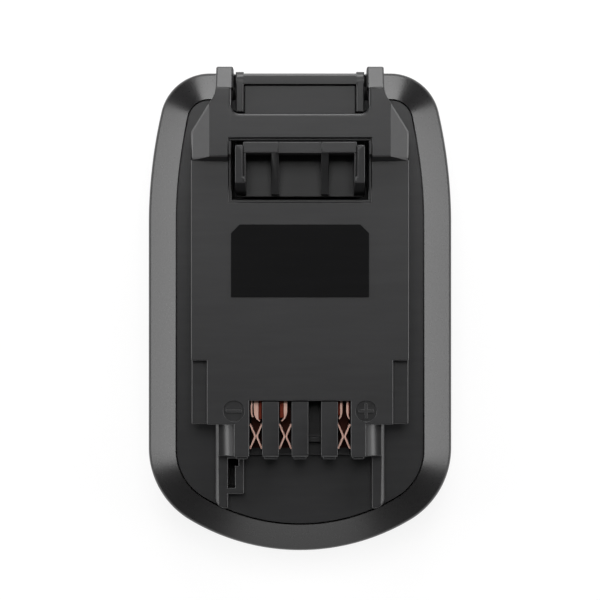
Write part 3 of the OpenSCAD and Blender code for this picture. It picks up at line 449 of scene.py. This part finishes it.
cover.normal_update()
for side in (-1, 1):
    def this_wing(p, n):
        return on_wing(p, n) and p.x * side > 0 and p.y > WING_START_Y

    corners = {v for f in pick(cover, this_wing) for v in f.verts}
    outer = max(corners, key=lambda v: (round(abs(v.co.x), 2), v.co.y)).co.copy()
    apex = max(corners, key=lambda v: v.co.y).co.copy()
    slant = Vector((side * (apex.y - outer.y), side * (outer.x - apex.x), 0)).normalized()

    def on_outline(p):
        outside = near(abs(p.x), WING_X) or near((p - outer).dot(slant), 0)
        return outside and p.z < HEAD_Z - NEAR and p.y > WING_START_Y + NEAR

    split(cover, pick(cover, this_wing), (side * (WING_X - STRIP_W), 0, 0), (1, 0, 0))
    split(cover, pick(cover, this_wing), outer - slant * STRIP_W, slant)
    for y in (WING_START_Y + STRIP_END, apex.y - STRIP_END):
        split(cover, pick(cover, this_wing), (0, y, 0), (0, 1, 0))
    border = {v for f in pick(cover, this_wing) for v in f.verts if on_outline(v.co)}
    bmesh.ops.translate(cover, verts=list(border), vec=(0, 0, STRIP_RISE))
    print("wing", side, "apex", [round(c, 2) for c in apex], "raised", len(border), "vertices")

# %% [markdown]
# ## Grooves beside the thumb button
# The photograph shows a black gap on each side of the button. The floor there gets a groove with the
# section of a V, which goes on in the casing's rim. Three cuts mark its sides and its bottom line,
# two more its pointed end, and the bottom line is lowered.

# %% The floor's grooves
GROOVE_X, GROOVE_HALF, GROOVE_DEPTH, GROOVE_Y = 15.9, 1.0, 2.0, 47.95
PATCH_X, PATCH_Y = (13, 19), (45, 53)  # the part of the floor that is cut


def floor_by_button(p, n):
    in_patch = PATCH_X[0] < abs(p.x) < PATCH_X[1] and PATCH_Y[0] < p.y < PATCH_Y[1]
    return in_patch and n.z > 0.99 and near(p.z, FLOOR_Z)


for side in (-1, 1):
    for x in (GROOVE_X - GROOVE_HALF, GROOVE_X, GROOVE_X + GROOVE_HALF):
        split(cover, pick(cover, floor_by_button), (side * x, 0, 0), (1, 0, 0))
for y in (GROOVE_Y - GROOVE_HALF, GROOVE_Y):
    split(cover, pick(cover, floor_by_button), (0, y, 0), (0, 1, 0))
sunk = [v for v in cover.verts if near(abs(v.co.x), GROOVE_X) and near(v.co.z, FLOOR_Z)
        and v.co.y > GROOVE_Y - NEAR]
bmesh.ops.translate(cover, verts=sunk, vec=(0, 0, -GROOVE_DEPTH))
print("floor grooves", len(sunk), "vertices")

# %% [markdown]
# ## The window's lip
# The hook stands in a window, and a thin lip runs round the head's side of it, just under the top.
# The window's walls are cut level at the lip's top and underside, and what lies between is drawn
# inwards.

# %% The window's lip
WINDOW_X, WINDOW_MID_Y, BRIDGE_Y, BRIDGE_UNDER_Z = 17.2, 30, 41.85, 36.5
LIP_Z, LIP_T, LIP_L, LIP_W, LIP_FRONT_Y = 38.2, 0.7, 0.53, 0.6, 37.9


def window_side(p, n):
    return abs(n.x) > 0.99 and near(abs(p.x), WINDOW_X) and p.y > WINDOW_MID_Y


def bridge_front(p, n):
    return n.y < -0.99 and near(p.y, BRIDGE_Y) and p.z > BRIDGE_UNDER_Z


def at_lip(p):
    return LIP_Z - LIP_T < p.z < LIP_Z


for z in (LIP_Z, LIP_Z - LIP_T):
    walls = pick(cover, lambda p, n: window_side(p, n) or bridge_front(p, n))
    split(cover, walls, (0, 0, z), (0, 0, 1))
for y in (LIP_FRONT_Y, BRIDGE_Y - LIP_L):
    split(cover, pick(cover, window_side), (0, y, 0), (0, 1, 0))
for side in (-1, 1):
    split(cover, pick(cover, bridge_front), (side * (WINDOW_X - NEAR), 0, 0), (1, 0, 0))
lip = pick(cover, lambda p, n: bridge_front(p, n) and at_lip(p) and abs(p.x) < WINDOW_X - NEAR)
raise_faces(cover, lip, (0, -LIP_L, 0))
for side in (-1, 1):
    def side_lip(p, n):
        here = p.x * side > 0 and LIP_FRONT_Y < p.y < BRIDGE_Y - LIP_L
        return here and window_side(p, n) and at_lip(p)

    raise_faces(cover, pick(cover, side_lip), (-side * LIP_W, 0, 0))
print("lip faces", len(lip))

# %% [markdown]
# ## Prong tips and polarity discs
# The prong tips stand a little further into the notch than their shanks, and their slopes are less
# steep than in the solid, so their foot is lifted. Cuts that cross a prong's flat sides are dissolved
# afterwards, because a bevel makes spikes where it meets them. The two discs, sunk round the minus
# and plus signs, lie a touch further back than in the solid.

# %% The prong tips and the discs
NOTCH_X, TIP_Y, TIP_SLOPE_L, TIP_OVERHANG, TIP_LIFT = 16.55, 59.4, 5.4, 0.4, 1.5
PRONG_Y, PRONG_IN_X, PRONG_OUT_X, PRONG_FOOT_Z = 50, 16, 22, 29
DISC_X, DISC_Y, DISC_R, DISC_DEPTH, DISC_SHIFT = 15.85, -24.15, 2.55, 0.5, 0.2


def on_prong(p):
    return p.y > PRONG_Y and PRONG_IN_X < abs(p.x) < PRONG_OUT_X and p.z > PRONG_FOOT_Z


def on_disc(p):
    off = math.hypot(abs(p.x) - DISC_X, p.y - DISC_Y)
    return off < DISC_R + DISC_SHIFT + 2 * NEAR and p.z > PLATE_Z - DISC_DEPTH - NEAR


for side in (-1, 1):
    def inner_side(p, n):
        return n.x * side < -0.99 and near(p.x, side * NOTCH_X) and p.y > PRONG_Y

    split(cover, pick(cover, inner_side), (0, TIP_Y - TIP_SLOPE_L, 0), (0, 1, 0))
    tip = pick(cover, lambda p, n: inner_side(p, n) and p.y > TIP_Y - TIP_SLOPE_L)
    raise_faces(cover, tip, (-side * TIP_OVERHANG, 0, 0))
toes = [v for v in cover.verts if v.co.y > TIP_Y - NEAR and near(v.co.z, HEAD_Z - TIP_SLOPE_L)]
bmesh.ops.translate(cover, verts=toes, vec=(0, 0, TIP_LIFT))
discs = [v for v in cover.verts if on_disc(v.co)]
bmesh.ops.translate(cover, verts=discs, vec=(0, DISC_SHIFT, 0))
flat_cuts = [e for e in cover.edges if e.is_manifold and turn(e) < 0.3
             and all(on_prong(v.co) for v in e.verts)]
bmesh.ops.dissolve_edges(cover, edges=flat_cuts, use_verts=False)
print("toes", len(toes), "disc vertices", len(discs), "cuts dissolved", len(flat_cuts))

# %% [markdown]
# ## The cover's edges
# The tips are where a thumb rubs, so they are rounded most, and the notch between them has a chamfer.
# The lip, the signs and the wings' outline take a fine rounding, and every other outer edge that
# faces the tool a narrow one. The floor's own outline stays sharp, because it lies against the
# casing.

# %% Round the cover's edges
BRIDGE_BACK_Y = 47.8
RUBBED_R, EDGE_R, FINE_R = 0.4, 0.28, 0.08
CHAMFER_W, CHAMFER_H = 0.5, 0.35
TIP_BACK, TIP_LOW_Z = 0.9, 32  # how far behind the slope, and how far down, the tips are rounded


def on_tip(p):
    return on_prong(p) and p.y > TIP_Y - TIP_SLOPE_L - TIP_BACK and p.z > TIP_LOW_Z


def on_notch_edge(p):
    in_notch = p.y > BRIDGE_BACK_Y - 2 * NEAR and abs(p.x) < NOTCH_X + NEAR
    return in_notch and p.z > HEAD_Z - NEAR and not on_tip(p)


def on_wing_edge(p):
    """The wings' outline, and where they meet the head's top."""
    on_side = abs(p.x) > HEAD_TOP_X + NEAR and PLATE_Z - WING_DROP - 2 * NEAR < p.z < HEAD_Z
    by_head = near(abs(p.x), HEAD_TOP_X) and p.z > HEAD_Z - NEAR
    return WING_START_Y < p.y < WING_END_Y and (on_side or by_head)


def on_lip(p):
    in_window = abs(p.x) < WINDOW_X and LIP_FRONT_Y - NEAR < p.y < BRIDGE_Y
    return in_window and LIP_Z - LIP_T - NEAR < p.z < LIP_Z + NEAR


def on_fine_edge(p):
    return on_disc(p) or on_lip(p) or on_wing_edge(p)


def on_other_edge(p):
    return p.z > FLOOR_Z + NEAR and not (on_tip(p) or on_fine_edge(p) or on_notch_edge(p))


def parts_shading(p, n):
    """The chamfer round the notch, the wings' strip and the fine edges of the discs."""
    in_notch = p.y > BRIDGE_BACK_Y - CHAMFER_W and abs(p.x) < NOTCH_X + CHAMFER_W and not on_tip(p)
    on_chamfer = in_notch and HEAD_Z - CHAMFER_H < p.z < HEAD_Z and 0.7 < n.z < 0.95
    on_strip = abs(p.x) > HEAD_TOP_X and p.y > HEAD_FOOT_Y and 0.75 < n.z < 0.88 and abs(n.x) > 0.4
    return on_chamfer or on_strip or (on_disc(p) and n.z < 0.98)


round_off(cover, outer_edges(cover, on_tip), RUBBED_R, 3)
round_off(cover, outer_edges(cover, on_notch_edge), CHAMFER_W, 1)
for v in cover.verts:
    if on_notch_edge(v.co + Vector((0, 0, CHAMFER_W))) and near(v.co.z, HEAD_Z - CHAMFER_W):
        v.co.z += CHAMFER_W - CHAMFER_H
round_off(cover, outer_edges(cover, on_fine_edge), FINE_R)
round_off(cover, outer_edges(cover, on_other_edge), EDGE_R)
finish_piece(cover, "interface_cover_moulded", ["interface_cover"], finish["cover"], "adapter",
             parts_shading)

# %% [markdown]
# ## Release latch
# One moulding carries the thumb button and the hook. The button's panel is a pad set in a narrow
# groove between the side ribs and the bar, so it is inset and drawn up, and it reaches under the
# bridge. The bar ends at the ribs, and a chamfer along its back gleams.

# %% The thumb button
BUTTON_Y, BAR_Y, RIB_X, RIB_START_Y, RIB_REACH = 47.8, 54.95, 13.6, 48.35, 0.2
PANEL_Z, GROOVE_W, PAD_RISE, PAD_FRONT_Y, PAD_REACH = 34.5, 0.22, 1.8, 48.5, 1.1
BAR_TOP_Z, BAR_END_Y, BAR_CHAMFER_W, BAR_CHAMFER_H = 37.5, 57.45, 0.5, 0.34
BAR_LAP_X, BAR_LAP_Z, BAR_GAP = 14.6, 36, 0.02  # where the solid's bar ends in the ribs, and its new gap

latch = copied("release_latch")
panel = pick(latch, lambda p, n: n.z > 0.99 and near(p.z, PANEL_Z) and p.y > BUTTON_Y)
bmesh.ops.inset_region(latch, faces=panel, thickness=GROOVE_W, use_even_offset=True)
raise_faces(latch, panel, (0, 0, PAD_RISE))
for v in latch.verts:
    if near(abs(v.co.x), BAR_LAP_X) and v.co.y > BAR_Y and v.co.z > BAR_LAP_Z:
        v.co.x = math.copysign(RIB_X + BAR_GAP, v.co.x)
bar_top = pick(latch, lambda p, n: n.z > 0.99 and near(p.z, BAR_TOP_Z) and p.y > BAR_Y - 1)
split(latch, bar_top, (0, BAR_END_Y - BAR_CHAMFER_W, 0), (0, 1, 0))
for v in latch.verts:
    x, y, z = abs(v.co.x), v.co.y, v.co.z
    if near(y, BAR_END_Y) and near(z, BAR_TOP_Z):
        v.co.z -= BAR_CHAMFER_H
    if near(y, RIB_START_Y) and x > RIB_X - NEAR:
        v.co.y -= RIB_REACH
    if near(z, PANEL_Z + PAD_RISE) and abs(y - PAD_FRONT_Y) < 0.5:
        v.co.y -= PAD_REACH
print("button panel", len(panel), "bar faces", len(bar_top))

# %% [markdown]
# ## The latch's hook
# The hook's middle is lower than its ends, and the ribs under it are broad and end high. The cheeks
# beside it have a step along their inner side, made by drawing up the rest of their top, and they
# fall less to the front than in the solid.

# %% The hook and its cheeks
HOOK_Z, HOOK_MID_DROP = 42.0, 0.9
BRACE_X, BRACE_BACK_Y, BRACE_LOW_Z, BRACE_WIDEN = 5.4, 38.2, 30.9, 0.3  # the ribs under the hook
BRACE_FRONT_Y, BRACE_FRONT_Z, BRACE_LIFT = 28.5, 32.0, 2.3
CHEEK_X, CHEEK_OUT_X, CHEEK_LOW_Z = 13, 15.6, 38
CHEEK_STEP_X, CHEEK_STEP_Y, CHEEK_RISE, CHEEK_LEVEL = 13.75, 32.45, 0.45, 1.0
CHEEK_FRONT_Y, CHEEK_BACK_Y, CHEEK_FRONT_Z, CHEEK_BACK_Z = 30.9, 39.95, 40.0, 41.5


def cheek_top(p, n):
    on_cheek = CHEEK_X < abs(p.x) < CHEEK_OUT_X and CHEEK_FRONT_Y - 0.1 < p.y < CHEEK_BACK_Y + 0.55
    return on_cheek and n.z > 0.8 and p.z > CHEEK_LOW_Z


def beside_step(p, n):
    return cheek_top(p, n) and (abs(p.x) > CHEEK_STEP_X or p.y < CHEEK_STEP_Y)


for v in latch.verts:
    x, y, z = abs(v.co.x), v.co.y, v.co.z
    if z > HOOK_Z - NEAR:
        v.co.z -= HOOK_MID_DROP
    if near(x, BRACE_X) and y < BRACE_BACK_Y and z > BRACE_LOW_Z:
        v.co.x -= math.copysign(BRACE_WIDEN, v.co.x)
    if near(y, BRACE_FRONT_Y) and near(z, BRACE_FRONT_Z):
        v.co.z += BRACE_LIFT
for side in (-1, 1):
    split(latch, pick(latch, cheek_top), (side * CHEEK_STEP_X, 0, 0), (1, 0, 0))
split(latch, pick(latch, cheek_top), (0, CHEEK_STEP_Y, 0), (0, 1, 0))
raised = pick(latch, beside_step)
raise_faces(latch, raised, (0, 0, CHEEK_RISE))
cheek_l = CHEEK_BACK_Y - CHEEK_FRONT_Y
fall = (CHEEK_BACK_Z - CHEEK_FRONT_Z) / cheek_l
for v in latch.verts:
    before_back = CHEEK_BACK_Y - v.co.y
    top_z = CHEEK_BACK_Z + CHEEK_RISE - fall * before_back
    if abs(v.co.x) > CHEEK_X and before_back > 0 and near(v.co.z, top_z):
        v.co.z += CHEEK_LEVEL * before_back / cheek_l
bmesh.ops.remove_doubles(latch, verts=latch.verts, dist=MERGE)
print("cheek faces raised", len(raised))

# %% [markdown]
# ## The latch's edges
# A thumb has rubbed the button's ribs round. The bar takes a fine rounding beside its chamfer, and
# the other outer edges a narrow one. Two kinds of edge stay sharp: where the bar meets the ribs, and
# the panel's front, which the bridge hides.

# %% Round the latch's edges
RIB_R, BAR_R, LATCH_R = 0.35, 0.1, 0.22
RIB_LOW_Z, BAR_LOW_Z = PANEL_Z + 0.6, PANEL_Z + 2.4
HIDDEN_Y = (47.9, 48.4)


def beside_bar(p):
    return p.y > BAR_Y and p.z > RIB_LOW_Z and RIB_X - 0.01 < abs(p.x) < RIB_X + 0.1


def on_rib(p):
    return p.y > BUTTON_Y and p.z > RIB_LOW_Z and abs(p.x) > RIB_X - 0.01 and not beside_bar(p)


def on_bar(p):
    return p.y > BAR_Y - 0.1 and p.z > BAR_LOW_Z and abs(p.x) < RIB_X


def under_bridge(p):
    by_pad = PANEL_Z - 0.1 < p.z < PANEL_Z + PAD_RISE - 0.1
    return by_pad and HIDDEN_Y[0] < p.y < HIDDEN_Y[1] and abs(p.x) < RIB_X


def on_latch_edge(p):
    return not (on_rib(p) or on_bar(p) or beside_bar(p) or under_bridge(p))


def on_bar_chamfer(p, n):
    return on_bar(p) and p.y > BAR_END_Y - BAR_CHAMFER_W and 0.7 < n.z < 0.95


round_off(latch, outer_edges(latch, on_rib), RIB_R, 3)
round_off(latch, outer_edges(latch, on_bar), BAR_R)
round_off(latch, outer_edges(latch, on_latch_edge), LATCH_R)
finish_piece(latch, "release_latch_moulded", ["release_latch"], finish["latch"], "latch",
             on_bar_chamfer)

# %% [markdown]
# ## Carrier, label, receiver and blades
# The same treatment, with a radius to suit each: the comb of the contact carrier is a fine moulding,
# the receiver a coarse one, the blades are stamped and only lose their burr, and the label is a film
# with a barely rounded edge. The ends of the carrier's fingers stay sharp, as the photograph shows
# them.

# %% The other softened pieces
SOFTENED = {  # finish and width of the rounded edges
    "contact_carrier": ("cover", 0.2),
    "label_plate": ("label", 0.08),
    "battery_receiver": ("inner", 0.3),
    "blade_holder": ("inner", 0.3),
    "blade_negative": ("copper", 0.12),
    "blade_signal": ("copper", 0.12),
    "blade_positive": ("copper", 0.12),
}
FINGER_Z, FINGER_BACK_Y, FINGER_FRONT_Y = 34.0, -21.65, -34.45


def on_finger_end(p):
    return p.z > FINGER_Z and (near(p.y, FINGER_BACK_Y) or near(p.y, FINGER_FRONT_Y))


for node, (look, width) in SOFTENED.items():
    softened = copied(node)
    round_off(softened, outer_edges(softened, lambda p: not on_finger_end(p)), width)
    finish_piece(softened, node + "_softened", [node], finish[look], "adapter")

# %% [markdown]
# ## Casing
# The casing's outline is a chain of arcs: the blunt nose, its corners, the long sides and the
# corners beside the mouth. Its wall has the same section nearly all the way round, so the section is
# drawn once at the nose and swept: spun round each arc's centre in turn, and drawn out straight
# between them. Beside the thumb button the rim dips into a narrow notch, which the photograph shows
# as a black gap. One half is then mirrored.

# %% The casing's sweep
NOSE_Y, MOUTH_Y = -59.5, 59.5
RIM_FOOT, RIM_TOP, RIM_RUN, RIM_IN = 17.6, 23.2, 6.9, 7.0
SEAT_Z, SHELF_IN, SHELF_UNDER, CHANNEL_H = 20.6, 8.9, 18.6, 13.0
WALL_T, SKIRT_T, FOOT_CHAMFER = 3.6, 2.2, 0.5
SECTION = [  # inset and height, up the outside and down the inside
    (FOOT_CHAMFER, 0), (0, FOOT_CHAMFER), (0, CHANNEL_H), (0, RIM_FOOT), (RIM_RUN, RIM_TOP),
    (RIM_IN, RIM_TOP), (RIM_IN, SEAT_Z), (SHELF_IN, SEAT_Z), (SHELF_IN, SHELF_UNDER),
    (WALL_T, SHELF_UNDER), (WALL_T, CHANNEL_H), (SKIRT_T, CHANNEL_H), (SKIRT_T, 0),
]
NOTCH_DROP = 4.0
BACK_RUNS = [  # along the mouth: the run, and the rim's change in height
    ((-5.6, 0, 0), 0), ((-1, 0, 0), -NOTCH_DROP), ((-1, 0, 0), NOTCH_DROP), ((-14.9, 0, 0), 0),
]
SWEEP = [  # each arc's centre, angle in degrees and steps, then the straight runs after it
    ((0, -5.70408), 30.7127, 24, []),
    ((16.75, -33.9), 59.2873, 28, [((0, 55.8267, 0), 0)]),
    ((-87.25, 21.9267), 12.9185, 24, []),
    ((22.5, 47.1), 77.0815, 32, BACK_RUNS),
]


def on_rim(vert):
    """Whether a vertex of the mouth's straight run belongs to the sloping rim."""
    inset, z = MOUTH_Y - vert.co.y, vert.co.z
    on_slope = near(inset, 0) and z > CHANNEL_H + NEAR or near(inset, RIM_RUN)
    return on_slope or near(inset, RIM_IN) and not near(z, SEAT_Z)


casing = bmesh.new()
loop = [casing.verts.new((0, NOSE_Y + inset, z)) for inset, z in SECTION]
front = [casing.edges.new(pair) for pair in zip(loop, loop[1:] + loop[:1])]
for centre, angle, steps, runs in SWEEP:
    swept = bmesh.ops.spin(casing, geom=front, cent=(*centre, 0), axis=(0, 0, 1), dvec=(0, 0, 0),
                           angle=math.radians(angle), steps=steps, use_merge=False)
    front = [g for g in swept["geom_last"] if isinstance(g, bmesh.types.BMEdge)]
    for run, rise in runs:
        drawn = bmesh.ops.extrude_edge_only(casing, edges=front)["geom"]
        ends = {g for g in drawn if isinstance(g, bmesh.types.BMVert)}
        bmesh.ops.translate(casing, verts=list(ends), vec=run)
        if rise:
            bmesh.ops.translate(casing, verts=[v for v in ends if on_rim(v)], vec=(0, 0, rise))
        front = [g for g in drawn if isinstance(g, bmesh.types.BMEdge) and set(g.verts) <= ends]
bmesh.ops.mirror(casing, geom=casing.verts[:] + casing.edges[:] + casing.faces[:],
                 matrix=Matrix.Identity(4), merge_dist=MERGE, axis="X")
bmesh.ops.remove_doubles(casing, verts=casing.verts, dist=MERGE)
bmesh.ops.recalc_face_normals(casing, faces=casing.faces)
print("casing", len(casing.faces), "faces, open edges", sum(e.is_boundary for e in casing.edges),
      "volume", round(casing.calc_volume(), 1))

# %% [markdown]
# A dark gap parts the rim from the floor. It is widest at the ends and closes along the sides, so the
# rim's inner edge is moved in there, eased at both ends. Then the edges where the sloping rim begins
# and ends are rounded: the lower one broadly, because it draws the soft light outline, and the upper
# one hardly.

# %% The rim's edges
SIDE_RUN, SIDE_IN = 0.15, 0.28  # how much further in the slope's top and the inner wall reach
EASE_IN, EASE_OUT = (-48, 20), (50, 8)  # where the sides begin and end, and over what length they ease
RIM_FOOT_R, RIM_TOP_R = 0.9, 0.04


def eased(distance, length):
    return min(max(distance / length, 0), 1)


def inner_side_of_rim(p, n):
    return abs(n.z) < 0.1 and SEAT_Z < p.z < RIM_TOP


inner_wall = {v for f in pick(casing, inner_side_of_rim) for v in f.verts}
rim_flat = {v for f in pick(casing, lambda p, n: n.z > 0.99 and near(p.z, RIM_TOP)) for v in f.verts}
for v in inner_wall | rim_flat:
    along = eased(v.co.y - EASE_IN[0], EASE_IN[1]) * eased(EASE_OUT[0] - v.co.y, EASE_OUT[1])
    v.co.x -= math.copysign(along * (SIDE_IN if v in inner_wall else SIDE_RUN), v.co.x)
round_off(casing, outer_edges(casing, lambda p: near(p.z, RIM_FOOT)), RIM_FOOT_R, 4)
round_off(casing, outer_edges(casing, lambda p: near(p.z, RIM_TOP)), RIM_TOP_R, 2)
print("rim vertices moved", len(inner_wall | rim_flat))

# %% [markdown]
# ## The casing's mouth
# The mouth is then cut out of the lower wall, so that a battery pack can slide in. Two cuts mark
# its sides, the wall between them goes, and the ceiling and the two ends are closed.

# %% The mouth
MOUTH_W, MOUTH_WALL_Y = 61.2, 40


def in_mouth_wall(p, n):
    return p.y > MOUTH_WALL_Y and p.z < CHANNEL_H - 0.01


for side in (-1, 1):
    split(casing, pick(casing, in_mouth_wall), (side * MOUTH_W / 2, 0, 0), (1, 0, 0))
gone = pick(casing, lambda p, n: in_mouth_wall(p, n) and abs(p.x) < MOUTH_W / 2)
bmesh.ops.delete(casing, geom=gone, context="FACES")
ceiling = [e for e in casing.edges if e.is_boundary and all(near(v.co.z, CHANNEL_H) for v in e.verts)]
for side in (-1, 1):
    corners = {v for e in ceiling for v in e.verts if abs(v.co.x - side * MOUTH_W / 2) < 0.001}
    ceiling.append(casing.edges.new(list(corners)))
bmesh.ops.contextual_create(casing, geom=ceiling)
bmesh.ops.holes_fill(casing, edges=[e for e in casing.edges if e.is_boundary], sides=0)
bmesh.ops.recalc_face_normals(casing, faces=casing.faces)
print("open edges", sum(not e.is_manifold for e in casing.edges), "volume", round(casing.calc_volume(), 1))
finish_piece(casing, "outer_casing_moulded", ["outer_casing"], finish["casing"], "adapter")

# %% [markdown]
# ## Sprung contacts
# Each contact is bent from thin strip: a flat base, two leaves that close on the tool's blade, and
# upright strips behind them whose narrow tips curl out of the blade's way. From above, the leaves'
# edges draw an X. A line of vertices is bent to each leaf's plan, raised to a sheet and given the
# strip's thickness, in the order in which a press tool bends the real one. The upright strips are
# raised from their plan, and a lower flank beside most of them lies deep in the slot, where the
# metal's colour carries painted shade.

# %% Helpers to bend the strip
BASE_Z, STRIP_T, LEAF_TOP = 25.5, 0.5, 32.1
LEAF_FRONT, LEAF_BACK, LEAF_X, LEAF_T, PINCH = -33.3, -27.1, 1.27, 0.42, 0.03
CURL_Y, CURL_R, CURL_T, STRIP_BACK, TAIL_Y = -24.1, 3.0, 0.3, -13.05, -9.05
BASE_X, FLANK_X, FLANK_TOP, FLANK_GAP = 1.25, 1.33, 31.0, 0.01
BEND_X, BEND_Y = 0.12, 0.5  # the rounding of the pinch
CURL_STEPS, TIP_STEPS = 8, 4


def raise_sheet(bm, line, thickness, top):
    """A sheet that stands on a line of vertices and is given its thickness."""
    edges = [bm.edges.new(pair) for pair in zip(line, line[1:])]
    raised = bmesh.ops.extrude_edge_only(bm, edges=edges)["geom"]
    bmesh.ops.translate(bm, verts=[g for g in raised if isinstance(g, bmesh.types.BMVert)],
                        vec=(0, 0, top - line[0].co.z))
    sheet = [g for g in raised if isinstance(g, bmesh.types.BMFace)]
    bmesh.ops.recalc_face_normals(bm, faces=sheet)
    bmesh.ops.solidify(bm, geom=sheet, thickness=thickness)


def leaf(bm, x, side):
    """One leaf: out at both ends, in at the middle, with a rounded pinch."""
    middle = (LEAF_FRONT + LEAF_BACK) / 2
    plan = [(LEAF_X, LEAF_BACK), (PINCH + BEND_X, middle + BEND_Y), (PINCH, middle),
            (PINCH + BEND_X, middle - BEND_Y), (LEAF_X, LEAF_FRONT)]
    line = [bm.verts.new((x + side * px, y, BASE_Z + STRIP_T)) for px, y in plan]
    raise_sheet(bm, line, LEAF_T, LEAF_TOP)


def raise_plan(bm, plan, top):
    """A solid that stands on the base, with that plan."""
    foot = bm.faces.new([bm.verts.new((x, y, BASE_Z + STRIP_T)) for x, y in plan])
    made = bmesh.ops.extrude_face_region(bm, geom=[foot], use_keep_orig=True)["geom"]
    raised = [g for g in made if isinstance(g, bmesh.types.BMVert)]
    bmesh.ops.translate(bm, verts=raised, vec=(0, 0, top - BASE_Z - STRIP_T))
    bmesh.ops.recalc_face_normals(bm, faces=list({f for v in raised for f in v.link_faces} | {foot}))


def curled_strip(bm, x, side, outer, thickness, angle):
    """An upright strip with a narrow tip that curls to one side; gives the corner inside the curl."""
    def at(radius, turned):
        swept = math.radians(turned)
        return x + side * (outer + CURL_R - radius * math.cos(swept)), CURL_Y - radius * math.sin(swept)

    inner = CURL_R - CURL_T
    meet = math.degrees(math.acos(min((CURL_R - thickness) / inner, 1)))
    plan = [(x + side * outer, STRIP_BACK)]
    plan += [at(CURL_R, angle * step / CURL_STEPS) for step in range(CURL_STEPS + 1)]
    if meet < angle:
        plan += [at(inner, angle + (meet - angle) * step / TIP_STEPS) for step in range(TIP_STEPS + 1)]
    plan.append((x + side * (outer + thickness), STRIP_BACK))
    raise_plan(bm, plan, LEAF_TOP)
    return plan[-2]


print("leaves", round(LEAF_BACK - LEAF_FRONT, 2), "mm long and", round(LEAF_TOP - BASE_Z, 2), "mm high")

# %% [markdown]
# The three contacts differ in their upright strips, as the photograph shows: the negative one has two
# that curl the same way, the signal one has a single strip, and the positive one has two that curl
# apart. One table holds them.

# %% The sprung contacts
CONTACTS = {  # slot centre, then side, place, thickness and curl of each strip, and whether it has a flank
    "contact_negative": (-10.695, [(1, -1.27, 0.4, 30, False), (1, -0.52, 1.1, 58, True)]),
    "contact_signal": (-3.565, [(-1, -0.45, 0.8, 55, True)]),
    "contact_positive": (10.695, [(-1, 0.41, 0.5, 40, True), (1, 0.54, 0.55, 40, True)]),
}
for node, (x, strips) in CONTACTS.items():
    contact = bmesh.new()
    base = bmesh.ops.create_cube(contact, size=1)["verts"]
    bmesh.ops.scale(contact, verts=base, vec=(2 * BASE_X, TAIL_Y - LEAF_FRONT, STRIP_T))
    bmesh.ops.translate(contact, verts=base, vec=(x, (TAIL_Y + LEAF_FRONT) / 2, BASE_Z + STRIP_T / 2))
    for side in (-1, 1):
        leaf(contact, x, side)
    for side, outer, thickness, angle, has_flank in strips:
        inner_x, end_y = curled_strip(contact, x, side, outer, thickness, angle)
        if has_flank:
            inside, outside = inner_x + side * FLANK_GAP, x + side * FLANK_X
            flank = [(inside, STRIP_BACK), (inside, end_y), (outside, end_y), (outside, STRIP_BACK)]
            raise_plan(contact, flank, FLANK_TOP)
    finish_piece(contact, node + "_bent", [node], finish["contact"], "adapter")

# %% [markdown]
# ## Latch springs
# Two compression springs on the guide posts push the latch up. A small ring of vertices, the wire's
# section, is spun round the post while it climbs. The first and last turns lie flat on the seats, as
# a real spring's ends do, and the turns between are open.

# %% The springs
POST_X, POST_Y, SPRING_FOOT, SPRING_L = 9.0, 44.825, 17.5, 11.0
WIRE_R, WIRE_SIDES, COIL_R, TURNS, STEPS = 0.35, 10, 2.65, 6, 24
LATCH_TRAVEL, CLOSED_PITCH = 3.5, 1.03  # the closed turns lie a little more than a wire apart
closed_rise = 2 * WIRE_R * CLOSED_PITCH
open_rise = (SPRING_L - 2 * WIRE_R - 2 * closed_rise) / (TURNS - 2)

coils = bmesh.new()
for post in (-POST_X, POST_X):
    made = bmesh.ops.create_circle(coils, segments=WIRE_SIDES, radius=WIRE_R)["verts"]
    bmesh.ops.rotate(coils, verts=made, cent=(0, 0, 0), matrix=Matrix.Rotation(math.pi / 2, 3, "X"))
    bmesh.ops.translate(coils, verts=made, vec=(post + COIL_R, POST_Y, SPRING_FOOT + WIRE_R))
    front = made + list({e for v in made for e in v.link_edges})
    bmesh.ops.contextual_create(coils, geom=front)
    for turns, rise in ((1, closed_rise), (TURNS - 2, open_rise), (1, closed_rise)):
        swept = bmesh.ops.spin(coils, geom=front, cent=(post, POST_Y, 0), axis=(0, 0, 1),
                               dvec=(0, 0, rise / STEPS), angle=math.tau * turns, steps=STEPS * turns,
                               use_merge=False)
        front = [g for g in swept["geom_last"] if not isinstance(g, bmesh.types.BMFace)]
    bmesh.ops.contextual_create(coils, geom=front)
bmesh.ops.recalc_face_normals(coils, faces=coils.faces)
print("springs, open edges", sum(e.is_boundary for e in coils.edges), "volume", round(coils.calc_volume(), 2))
springs = finish_piece(coils, "latch_springs_wound", ["latch_springs"], finish["steel"], "adapter")
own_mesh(springs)

# %% [markdown]
# ## Pieces that keep their CAD shape
# Screws, posts, leads, board and resistors are right as they stand, and hidden from above. They only
# need their finishes.

# %% Finishes for the CAD nodes that stay
KEPT = {
    "carrier_screws": "steel", "holder_screws": "steel", "housing_screws": "steel",
    "guide_posts": "steel", "lead_negative": "black_pvc", "lead_positive": "red_pvc",
    "lead_signal_tool": "white_pvc", "lead_signal_battery": "white_pvc", "coding_board": "board",
    "coding_resistors": "resistor",
}
for node, look in KEPT.items():
    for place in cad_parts[node].material_slots:
        place.material = finish[look]
print("kept nodes", len(KEPT))
